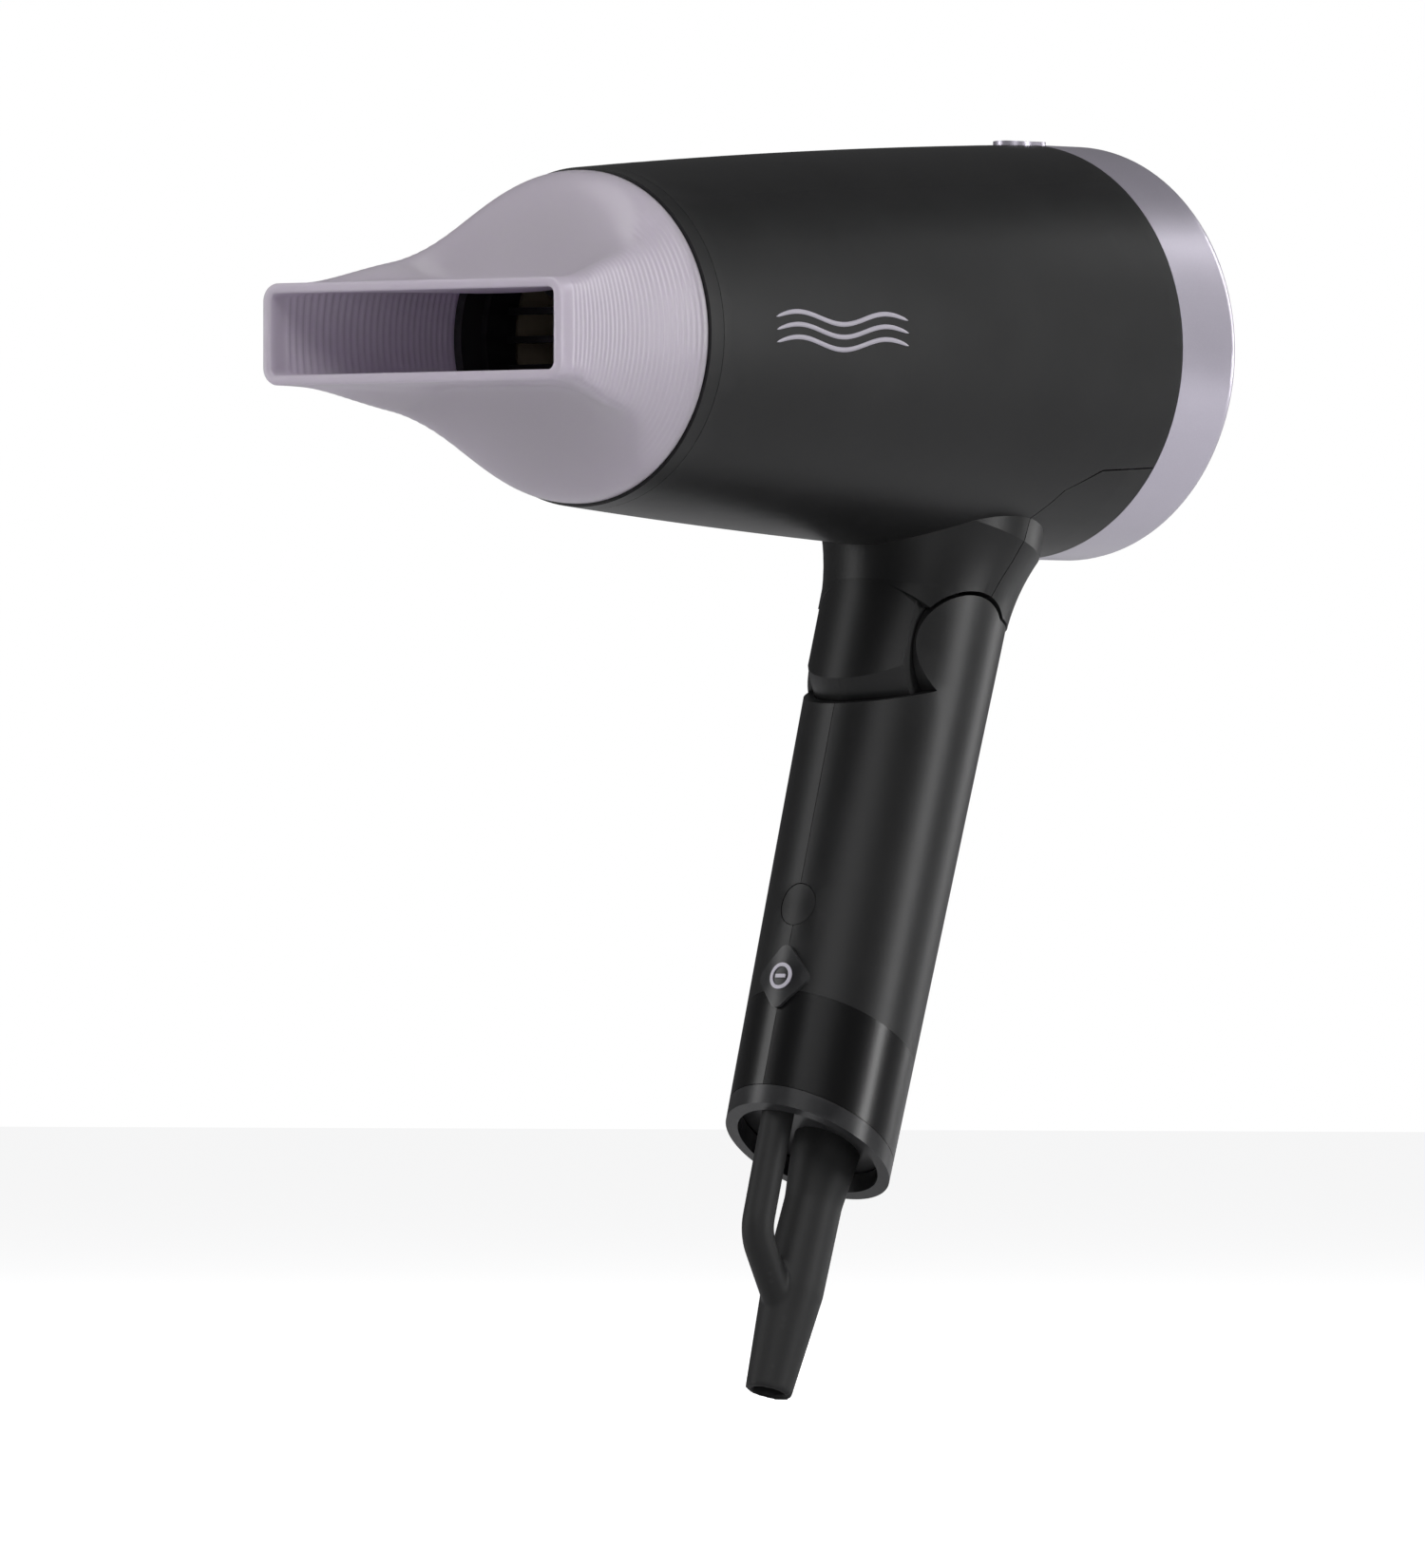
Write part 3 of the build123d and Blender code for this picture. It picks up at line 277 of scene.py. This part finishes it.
def moulding(name, colour, rough=(0.34, 0.44), grain_scale=2600.0, bump=0.08, mark=0.008,
             metallic=0.0, coat=0.0, transmission=0.0, wear=0.05, specular=0.5):
    """Moulded plastic or metal with grain, handling marks and rubbed edges."""
    material = bpy.data.materials.new(name)
    material.use_nodes = True
    tree = material.node_tree
    nodes, links = tree.nodes, tree.links
    shader = nodes["Principled BSDF"]
    surface = nodes.new("ShaderNodeGroup")
    surface.node_tree = moulded_surface_group()
    surface.inputs["Grain Scale"].default_value = grain_scale
    edges = nodes.new("ShaderNodeGroup")
    edges.node_tree = edge_wear_group()
    handled = mixed_colour(tree, surface.outputs["Marks"], colour, lighter(colour, mark))
    worn = tinted(tree, handled, edges.outputs["Wear"], lighter(colour, wear))
    links.new(worn, shader.inputs["Base Color"])
    matt = nodes.new("ShaderNodeMapRange")
    matt.inputs["To Min"].default_value = rough[0]
    matt.inputs["To Max"].default_value = rough[1]
    links.new(surface.outputs["Marks"], matt.inputs["Value"])
    links.new(matt.outputs["Result"], shader.inputs["Roughness"])
    relief = nodes.new("ShaderNodeBump")
    relief.inputs["Strength"].default_value = bump
    relief.inputs["Distance"].default_value = 0.0001
    links.new(surface.outputs["Grain"], relief.inputs["Height"])
    links.new(relief.outputs["Normal"], shader.inputs["Normal"])
    shader.inputs["Metallic"].default_value = metallic
    shader.inputs["Specular IOR Level"].default_value = specular
    shader.inputs["Coat Weight"].default_value = coat
    shader.inputs["Coat Roughness"].default_value = 0.12
    shader.inputs["Transmission Weight"].default_value = transmission
    return material


def two_tone_grip(name, colour, band_height):
    """Satin grip with a darker, glossier band above the slanted end ring."""
    material = moulding(name, colour, rough=(0.36, 0.44), wear=0.02, specular=0.3)
    tree = material.node_tree
    nodes, links = tree.nodes, tree.links
    shader = nodes["Principled BSDF"]
    low, high = (Vector(c) for c in END_RING_BOX)
    middle = (low + high) / 2
    slant = math.atan2(high.z - low.z - END_RING_HEIGHT, high.x - low.x)
    up = Vector((math.sin(slant), 0.0, math.cos(slant)))
    place = nodes.new("ShaderNodeTexCoord")
    along = nodes.new("ShaderNodeVectorMath")
    along.operation = "DOT_PRODUCT"
    along.inputs[1].default_value = up
    links.new(place.outputs["Object"], along.inputs[0])
    edge = middle.dot(up) + band_height
    below = nodes.new("ShaderNodeMapRange")
    below.inputs["From Min"].default_value = edge + BAND_BLEND
    below.inputs["From Max"].default_value = edge - BAND_BLEND
    links.new(along.outputs["Value"], below.inputs["Value"])
    base = shader.inputs["Base Color"].links[0].from_socket
    shade = tuple(c * BAND_SHADE for c in colour)
    tone = tinted(tree, base, below.outputs["Result"], shade)
    links.new(tone, shader.inputs["Base Color"])
    matt = shader.inputs["Roughness"].links[0].from_socket
    gloss = nodes.new("ShaderNodeMix")
    gloss.data_type = "FLOAT"
    gloss.inputs["B"].default_value = BAND_ROUGHNESS
    links.new(matt, gloss.inputs["A"])
    links.new(below.outputs["Result"], gloss.inputs["Factor"])
    links.new(gloss.outputs["Result"], shader.inputs["Roughness"])
    return material


def metal_flake(name, colour):
    """Satin metallic paint with fine flakes."""
    material = moulding(name, colour, rough=(0.30, 0.38), grain_scale=3800.0, bump=0.05, mark=0.02,
                        metallic=0.72, coat=0.25, wear=0.1)
    tree = material.node_tree
    nodes, links = tree.nodes, tree.links
    shader = nodes["Principled BSDF"]
    place = nodes.new("ShaderNodeTexCoord")
    flake = nodes.new("ShaderNodeTexVoronoi")
    flake.inputs["Scale"].default_value = 5200.0
    amount = nodes.new("ShaderNodeMapRange")
    amount.inputs["To Min"].default_value = 0.0
    amount.inputs["To Max"].default_value = 0.22
    links.new(place.outputs["Object"], flake.inputs["Vector"])
    links.new(flake.outputs["Distance"], amount.inputs["Value"])
    base = shader.inputs["Base Color"].links[0].from_socket
    sparkle = tinted(tree, base, amount.outputs["Result"], lighter(colour, 0.25))
    links.new(sparkle, shader.inputs["Base Color"])
    return material


def woven_mesh(name, colour):
    """Fine crossed threads of the dust filter, with painted shade in the openings between them."""
    material = moulding(name, colour, rough=(0.55, 0.7))
    tree = material.node_tree
    shader = tree.nodes["Principled BSDF"]
    place = tree.nodes.new("ShaderNodeTexCoord")
    heights = []
    for axis in ("Y", "Z"):
        thread = tree.nodes.new("ShaderNodeTexWave")
        thread.bands_direction = axis
        thread.inputs["Scale"].default_value = 420.0
        tree.links.new(place.outputs["Object"], thread.inputs["Vector"])
        heights.append(thread.outputs["Fac"])
    top = tree.nodes.new("ShaderNodeMath")
    top.operation = "MAXIMUM"
    tree.links.new(heights[0], top.inputs[0])
    tree.links.new(heights[1], top.inputs[1])
    # the near-black between the threads is painted shade for the dark seen through the filter's
    # openings
    weave_with_painted_shade = mixed_colour(tree, top.outputs["Value"], (0.002, 0.002, 0.002), colour)
    tree.links.new(weave_with_painted_shade, shader.inputs["Base Color"])
    bump = next(n for n in tree.nodes if n.type == "BUMP")
    bump.inputs["Strength"].default_value = 0.8
    bump.inputs["Distance"].default_value = 0.0002
    tree.links.new(top.outputs["Value"], bump.inputs["Height"])
    return material


def milky_plastic(name, colour):
    """Frosted, slightly see-through plastic."""
    material = moulding(name, colour, rough=(0.26, 0.36), grain_scale=3200.0, bump=0.03, mark=0.03,
                        transmission=0.35, wear=0.08)
    shader = material.node_tree.nodes["Principled BSDF"]
    shader.inputs["IOR"].default_value = 1.38
    shader.inputs["Subsurface Weight"].default_value = 0.5
    shader.inputs["Subsurface Radius"].default_value = (0.6, 0.55, 0.65)
    shader.inputs["Subsurface Scale"].default_value = 0.008
    return material


def slot_materials(casing, nozzle):
    """One finish for each material slot of the record."""
    black = tuple(casing.black)
    lilac = tuple(casing.lilac)
    return {
        "black_satin": moulding(
            "satin black moulding", black, rough=(0.36, 0.45), wear=0.02, specular=0.26),
        "black_gloss": moulding(
            "gloss black moulding", (0.006, 0.006, 0.007), rough=(0.26, 0.34), bump=0.03,
            specular=0.3),
        "lilac_satin": metal_flake("metallic lilac", lilac),
        "lilac_clear": milky_plastic("milky lilac", tuple(nozzle.colour)),
        "grey_plastic": moulding("grey moulding", (0.05, 0.05, 0.053), rough=(0.42, 0.55)),
        "rubber_black": moulding(
            "black rubber", (0.006, 0.006, 0.0063), rough=(0.5, 0.62), grain_scale=1900.0,
            bump=0.2, wear=0.01, specular=0.3),
        "steel": moulding(
            "turned steel", (0.42, 0.42, 0.43), rough=(0.22, 0.36), metallic=1.0, mark=0.05),
        "bronze": moulding(
            "sintered bronze", (0.42, 0.27, 0.12), rough=(0.3, 0.45), metallic=1.0, mark=0.05),
        "magnet": moulding("ferrite", (0.03, 0.03, 0.032), rough=(0.5, 0.65), bump=0.25),
        "mica": moulding(
            "mica board", (0.34, 0.28, 0.19), rough=(0.3, 0.5), grain_scale=900.0, mark=0.12),
        "heating_wire": moulding(
            "heating wire", (0.30, 0.27, 0.25), rough=(0.3, 0.45), metallic=1.0),
        "board_green": moulding(
            "circuit board", (0.015, 0.09, 0.045), rough=(0.25, 0.4), coat=0.4),
        "filter_mesh": woven_mesh("filter mesh", (0.05, 0.05, 0.055)),
        "badge_grey": moulding(
            "printed lilac grey", (0.42, 0.40, 0.46), rough=(0.35, 0.45), bump=0.03),
    }


def dress(obj, material):
    """Give every material slot of an object the same finish."""
    if obj.data.materials:
        for slot in obj.material_slots:
            slot.material = material
    else:
        obj.data.materials.append(material)


# ------------------------------------------------------------------ mesh helpers
def finish_piece(name, bm, material, body, replaced=()):
    """Turn a bmesh into a smooth piece that rides with a body."""
    mesh = bpy.data.meshes.new(name)
    bm.to_mesh(mesh)
    bm.free()
    for face in mesh.polygons:
        face.use_smooth = True
    piece = bpy.data.objects.new(name, mesh)
    bpy.context.scene.collection.objects.link(piece)
    mesh.materials.append(material)
    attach(piece, body)
    if replaced:
        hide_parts(*replaced)
    return piece


def smooth_step(value):
    """Ease from 0 to 1 without a corner at either end."""
    value = max(0.0, min(1.0, value))
    return value * value * (3 - 2 * value)


def slot_point(angle, half_w, half_h, corner):
    """Point on the rounded slot outline that belongs to an angle on the round root."""
    side = SLOT_SIDE_SHARE
    y, z = abs(math.cos(angle)), abs(math.sin(angle))
    u = math.atan2(z, y) / (math.pi / 2)
    if u < side:
        y, z = half_w, (half_h - corner) * u / side
    elif u > 1 - side:
        y, z = (half_w - corner) * (1 - u) / side, half_h
    else:
        bend = (u - side) / (1 - 2 * side) * math.pi / 2
        y, z = half_w - corner + corner * math.cos(bend), half_h - corner + corner * math.sin(bend)
    return math.copysign(y, math.cos(angle)), math.copysign(z, math.sin(angle))


def scooped_point(angle, along, root_r, slot, inset):
    """Point of the wall, whose top and bottom come down sooner than the sides close in."""
    half_w, half_h, corner = slot
    top = smooth_step((abs(math.sin(angle)) - SCOOP_EDGE) / SCOOP_SPREAD)
    side_ease = smooth_step(along ** SIDE_EASE)
    top_ease = smooth_step(min(1.0, along * SCOOP_HASTE) ** SCOOP_EASE)
    height_ease = top_ease * top + side_ease * (1 - top)
    slot_y, slot_z = slot_point(angle, half_w - inset, half_h - inset, corner - inset)
    radius = root_r - inset
    y = radius * math.cos(angle) * (1 - side_ease) + slot_y * side_ease
    z = radius * math.sin(angle) * (1 - height_ease) + slot_z * height_ease
    return y, z


def nozzle_rings(length, sizes):
    """Rings of the wall, out to the lip and back: share of the length, rib height, inset."""
    step = sizes.rib_pitch / RIB_STEPS
    count = int((length - RIB_TAIL) / step)
    wall = [(0.0, 0.0), (ROOT_LAND / length, 0.0)]
    for i in range(1, count + 1):
        wave = 0.5 - 0.5 * math.cos(i * 2 * math.pi / RIB_STEPS)
        wall.append(((i * step + RIB_LEAD) / length, wave))
    wall += [(1 - LIP_LAND / length, 0.0), (1 - LIP_ROUND / length, 0.0)]
    shoulder = 1 - LIP_SHOULDER / length
    rings = [(t, wave, 0.0) for t, wave in wall]
    rings += [(shoulder, 0.0, LIP_SHOULDER_IN), (1.0, 0.0, LIP_ROUND)]
    rings += [(1.0, 0.0, sizes.wall - LIP_ROUND),
              (shoulder, 0.0, sizes.wall - LIP_SHOULDER_IN)]
    rings += [(t, wave, sizes.wall) for t, wave in reversed(wall)]
    return rings


def barrel_tree(mesh):
    """Search tree over the barrel's mesh."""
    copy = bmesh.new()
    copy.from_mesh(mesh)
    tree = BVHTree.FromBMesh(copy)
    copy.free()
    return tree


# ------------------------------------------------------------------ operators
class DRYER_OT_casing(bpy.types.Operator):
    """Give every part of the dryer its finish"""

    bl_idname = "dryer.casing"
    bl_label = "Finish the casing"

    def execute(self, context):
        scene = context.scene
        finishes = slot_materials(scene.dryer_casing, scene.dryer_nozzle)
        grip = two_tone_grip(
            "two-tone grip", tuple(scene.dryer_casing.black), scene.dryer_casing.band_height)
        for entry in frame["record"]["subparts"]:
            node = frame["nodes"][entry["node"]]
            dress(node, finishes[entry["material_slot"]])
        for node in ("handle_left_shell", "handle_right_shell"):
            dress(frame["nodes"][node], grip)
        return {"FINISHED"}


class DRYER_OT_nozzle(bpy.types.Operator):
    """Model the milky concentrator with fine ribs on its side walls"""

    bl_idname = "dryer.nozzle"
    bl_label = "Model the nozzle"

    def execute(self, context):
        sizes = context.scene.dryer_nozzle
        low, high = (Vector(c) for c in NOZZLE_BOX)
        root_x = high.x
        root_r = RIM_BOX[1][2] - ROOT_STEP_IN
        length = root_x - low.x
        slot = (high.y, SLOT_HALF_HEIGHT, sizes.slot_corner)
        rings = nozzle_rings(length, sizes)
        bm = bmesh.new()
        turn = bm.verts.layers.float.new("turn")
        turned = Matrix.Rotation(math.pi / 2, 4, "Y")
        made = bmesh.ops.create_circle(
            bm, cap_ends=False, segments=ROOT_SEGMENTS, radius=root_r, matrix=turned)
        for vert in made["verts"]:
            vert[turn] = math.atan2(vert.co.z, vert.co.y)
            vert.co.x = root_x
        first = list(bm.edges)
        edges = first
        for t, wave, inset in rings[1:]:
            made = bmesh.ops.extrude_edge_only(bm, edges=edges)
            edges = [g for g in made["geom"] if isinstance(g, bmesh.types.BMEdge)]
            for vert in [g for g in made["geom"] if isinstance(g, bmesh.types.BMVert)]:
                angle = vert[turn]
                y, z = scooped_point(angle, t, root_r, slot, inset)
                side = smooth_step((abs(math.cos(angle)) - RIB_EDGE) / RIB_SPREAD)
                side *= smooth_step((RIB_FADE_END - t) / RIB_FADE)
                groove = sizes.rib_depth * side * wave
                vert.co = Vector((root_x - t * length, y - math.copysign(groove, y), z))
        bmesh.ops.bridge_loops(bm, edges=first + edges)
        bmesh.ops.recalc_face_normals(bm, faces=bm.faces)
        finish_piece("concentrator", bm, frame["nodes"]["nozzle"].material_slots[0].material,
                     "nozzle", ("nozzle",))
        return {"FINISHED"}


class DRYER_OT_relief(bpy.types.Operator):
    """Model the rubber strain relief and hanging loop as one soft moulding"""

    bl_idname = "dryer.relief"
    bl_label = "Model the relief and loop"

    def execute(self, context):
        node = frame["nodes"]["strain_relief_loop"]
        bm = bmesh.new()
        bm.from_mesh(node.data)
        bmesh.ops.remove_doubles(bm, verts=bm.verts, dist=1e-6)
        mesh = bpy.data.meshes.new("relief_and_loop")
        bm.to_mesh(mesh)
        bm.free()
        piece = bpy.data.objects.new("relief_and_loop", mesh)
        context.scene.collection.objects.link(piece)
        fine = piece.modifiers.new("even mesh", "REMESH")
        fine.mode = "VOXEL"
        fine.voxel_size = RELIEF_VOXEL
        soft = piece.modifiers.new("soft joins", "SMOOTH")
        soft.factor = RELIEF_SMOOTHING
        soft.iterations = RELIEF_PASSES
        finished = piece.evaluated_get(context.evaluated_depsgraph_get())
        baked = bpy.data.meshes.new_from_object(finished)
        bpy.data.objects.remove(piece)
        bm = bmesh.new()
        bm.from_mesh(baked)
        finish_piece("relief_and_loop", bm, node.material_slots[0].material,
                     "handle", ("strain_relief_loop",))
        return {"FINISHED"}


class DRYER_OT_mark(bpy.types.Operator):
    """Print three plain waves on the left of the barrel"""

    bl_idname = "dryer.mark"
    bl_label = "Print the airflow mark"

    def execute(self, context):
        sizes = context.scene.dryer_mark
        centre_x = SLEEVE_BOX[0][0] + MARK_SETBACK
        radius_front = RIM_BOX[1][2]
        radius_rear = SLEEVE_BOX[1][2]
        slope = (radius_rear - radius_front) / (SLEEVE_BOX[1][0] - RIM_BOX[0][0])
        turned = Matrix.Rotation(math.pi / 2, 4, "X")
        bm = bmesh.new()
        for row in (-1, 0, 1):
            bmesh.ops.create_grid(
                bm, x_segments=MARK_STEPS, y_segments=1, size=0.5, matrix=turned)
            fresh = [v for v in bm.verts if not v.tag]
            for vert in fresh:
                along = vert.co.x
                across = vert.co.z
                taper = math.sqrt(max(0.0, 1 - (2 * abs(along)) ** TAPER_POWER))
                x = centre_x + along * sizes.length
                wave = WAVE_HEIGHT * math.sin((along + 0.5) * WAVE_HALF_TURNS * math.pi)
                z = MARK_RISE + row * sizes.spacing + wave + across * sizes.line * taper
                vert.co = Vector((x, MARK_RAY_START, z))
                vert.tag = True
        tree = barrel_tree(frame["nodes"]["barrel_sleeve"].data)
        for vert in bm.verts:
            hit = tree.ray_cast(vert.co, Vector((0, 1, 0)))[0]
            if hit is None:
                raise RuntimeError("the mark missed the barrel")
            guess = radius_front + slope * (vert.co.x - RIM_BOX[0][0])
            outwards = Vector((0, hit.y, hit.z))
            vert.co = hit + outwards.normalized() * INK_LIFT
            if abs(outwards.length - guess) > MARK_TOLERANCE:
                raise RuntimeError("the mark lies off the barrel")
        bmesh.ops.recalc_face_normals(bm, faces=bm.faces)
        ink = moulding("pale ink", (0.33, 0.31, 0.36), rough=(0.32, 0.42), bump=0.02)
        piece = finish_piece("airflow_mark", bm, ink, "head")
        thick = piece.modifiers.new("ink", "SOLIDIFY")
        thick.thickness = INK_THICKNESS
        thick.offset = -1.0
        return {"FINISHED"}


def lay_floor(context, middle, floor_z):
    """Wide flat floor under the dryer."""
    bm = bmesh.new()
    made = bmesh.ops.create_grid(bm, x_segments=1, y_segments=1, size=FLOOR_HALF_SIZE)
    bmesh.ops.translate(bm, verts=made["verts"], vec=(middle.x, middle.y, floor_z))
    mesh = bpy.data.meshes.new("floor")
    bm.to_mesh(mesh)
    bm.free()
    floor = bpy.data.objects.new("floor", mesh)
    context.scene.collection.objects.link(floor)
    mesh.materials.append(pale_floor())


def studio_world(context):
    """Dim, even light all round that the camera sees as white."""
    world = bpy.data.worlds.new("studio")
    context.scene.world = world
    world.use_nodes = True
    nodes, links = world.node_tree.nodes, world.node_tree.links
    back = nodes["Background"]
    back.inputs["Color"].default_value = (0.95, 0.95, 0.97, 1.0)
    back.inputs["Strength"].default_value = 0.10
    seen = nodes.new("ShaderNodeBackground")
    seen.inputs["Color"].default_value = (1.0, 1.0, 1.0, 1.0)
    seen.inputs["Strength"].default_value = 1.0
    ray = nodes.new("ShaderNodeLightPath")
    pick = nodes.new("ShaderNodeMixShader")
    links.new(ray.outputs["Is Camera Ray"], pick.inputs["Fac"])
    links.new(back.outputs["Background"], pick.inputs[1])
    links.new(seen.outputs["Background"], pick.inputs[2])
    links.new(pick.outputs["Shader"], nodes["World Output"].inputs["Surface"])


def place_camera(context, middle):
    """Long lens from the front left, just below level."""
    data = bpy.data.cameras.new("camera")
    camera = bpy.data.objects.new("camera", data)
    context.scene.collection.objects.link(camera)
    azimuth, elevation = math.radians(CAMERA_AZIMUTH), math.radians(CAMERA_ELEVATION)
    back_way = Vector((math.sin(azimuth) * math.cos(elevation),
                       -math.cos(azimuth) * math.cos(elevation), math.sin(elevation)))
    target = middle + Vector(CAMERA_AIM)
    camera.location = target + back_way * CAMERA_DISTANCE
    camera.rotation_euler = (-back_way).to_track_quat("-Z", "Y").to_euler()
    data.sensor_width = 36.0
    data.lens = CAMERA_LENS
    data.clip_end = 60.0
    context.scene.camera = camera


def pale_floor():
    """Plain pale floor that reads white to the camera."""
    material = bpy.data.materials.new("pale floor")
    material.use_nodes = True
    nodes, links = material.node_tree.nodes, material.node_tree.links
    shader = nodes["Principled BSDF"]
    shader.inputs["Base Color"].default_value = (0.8, 0.8, 0.81, 1.0)
    shader.inputs["Roughness"].default_value = 0.9
    shader.inputs["Specular IOR Level"].default_value = 0.0
    shader.inputs["Emission Color"].default_value = (1.0, 1.0, 1.0, 1.0)
    ray = nodes.new("ShaderNodeLightPath")
    glow = nodes.new("ShaderNodeMath")
    glow.operation = "MULTIPLY"
    glow.inputs[1].default_value = FLOOR_GLOW
    links.new(ray.outputs["Is Camera Ray"], glow.inputs[0])
    links.new(glow.outputs["Value"], shader.inputs["Emission Strength"])
    return material


def soft_light(context, name, offset, target, width, height, power):
    """Rectangular softbox that faces the dryer."""
    data = bpy.data.lights.new(name, "AREA")
    data.shape = "RECTANGLE"
    data.size = width
    data.size_y = height
    data.energy = power
    light = bpy.data.objects.new(name, data)
    light.location = target + Vector(offset)
    light.rotation_euler = (-Vector(offset)).to_track_quat("-Z", "Y").to_euler()
    context.scene.collection.objects.link(light)


class DRYER_OT_stage(bpy.types.Operator):
    """Set the pale floor, the soft lights and the camera"""

    bl_idname = "dryer.stage"
    bl_label = "Set the stage"

    def execute(self, context):
        low, high = (Vector(c) for c in CAD_BOX)
        middle = (low + high) / 2
        lay_floor(context, middle, low.z - FLOOR_DROP)
        studio_world(context)
        for name, offset, width, height, power in LIGHTS:
            soft_light(context, name, offset, middle, width, height, power)
        place_camera(context, middle)
        context.scene.view_settings.view_transform = "Standard"
        return {"FINISHED"}


class DRYER_PT_panel(bpy.types.Panel):
    """Lists the dryer's operators and sizes"""

    bl_idname = "DRYER_PT_panel"
    bl_label = "Folding Hair Dryer"
    bl_space_type = "VIEW_3D"
    bl_region_type = "UI"
    bl_category = "Hair Dryer"

    def draw(self, context):
        layout = self.layout
        for operator in OPERATORS:
            layout.operator(operator.bl_idname)
        for settings in ("dryer_nozzle", "dryer_casing", "dryer_mark"):
            group = getattr(context.scene, settings)
            box = layout.box()
            for label in group.__annotations__:
                box.prop(group, label)


OPERATORS = (DRYER_OT_casing, DRYER_OT_nozzle, DRYER_OT_relief, DRYER_OT_mark, DRYER_OT_stage)
CLASSES = (NozzleSettings, CasingSettings, MarkSettings, *OPERATORS, DRYER_PT_panel)


def register():
    """Make the classes and the scene's settings known to Blender."""
    for cls in CLASSES:
        bpy.utils.register_class(cls)
    bpy.types.Scene.dryer_nozzle = bpy.props.PointerProperty(type=NozzleSettings)
    bpy.types.Scene.dryer_casing = bpy.props.PointerProperty(type=CasingSettings)
    bpy.types.Scene.dryer_mark = bpy.props.PointerProperty(type=MarkSettings)


def unregister():
    """Take them away again, last first."""
    del bpy.types.Scene.dryer_mark
    del bpy.types.Scene.dryer_casing
    del bpy.types.Scene.dryer_nozzle
    for cls in reversed(CLASSES):
        bpy.utils.unregister_class(cls)


def main():
    """Build everything in order."""
    register()
    bpy.ops.dryer.casing()
    bpy.ops.dryer.nozzle()
    bpy.ops.dryer.relief()
    bpy.ops.dryer.mark()
    bpy.ops.dryer.stage()


if __name__ == "__main__":
    main()
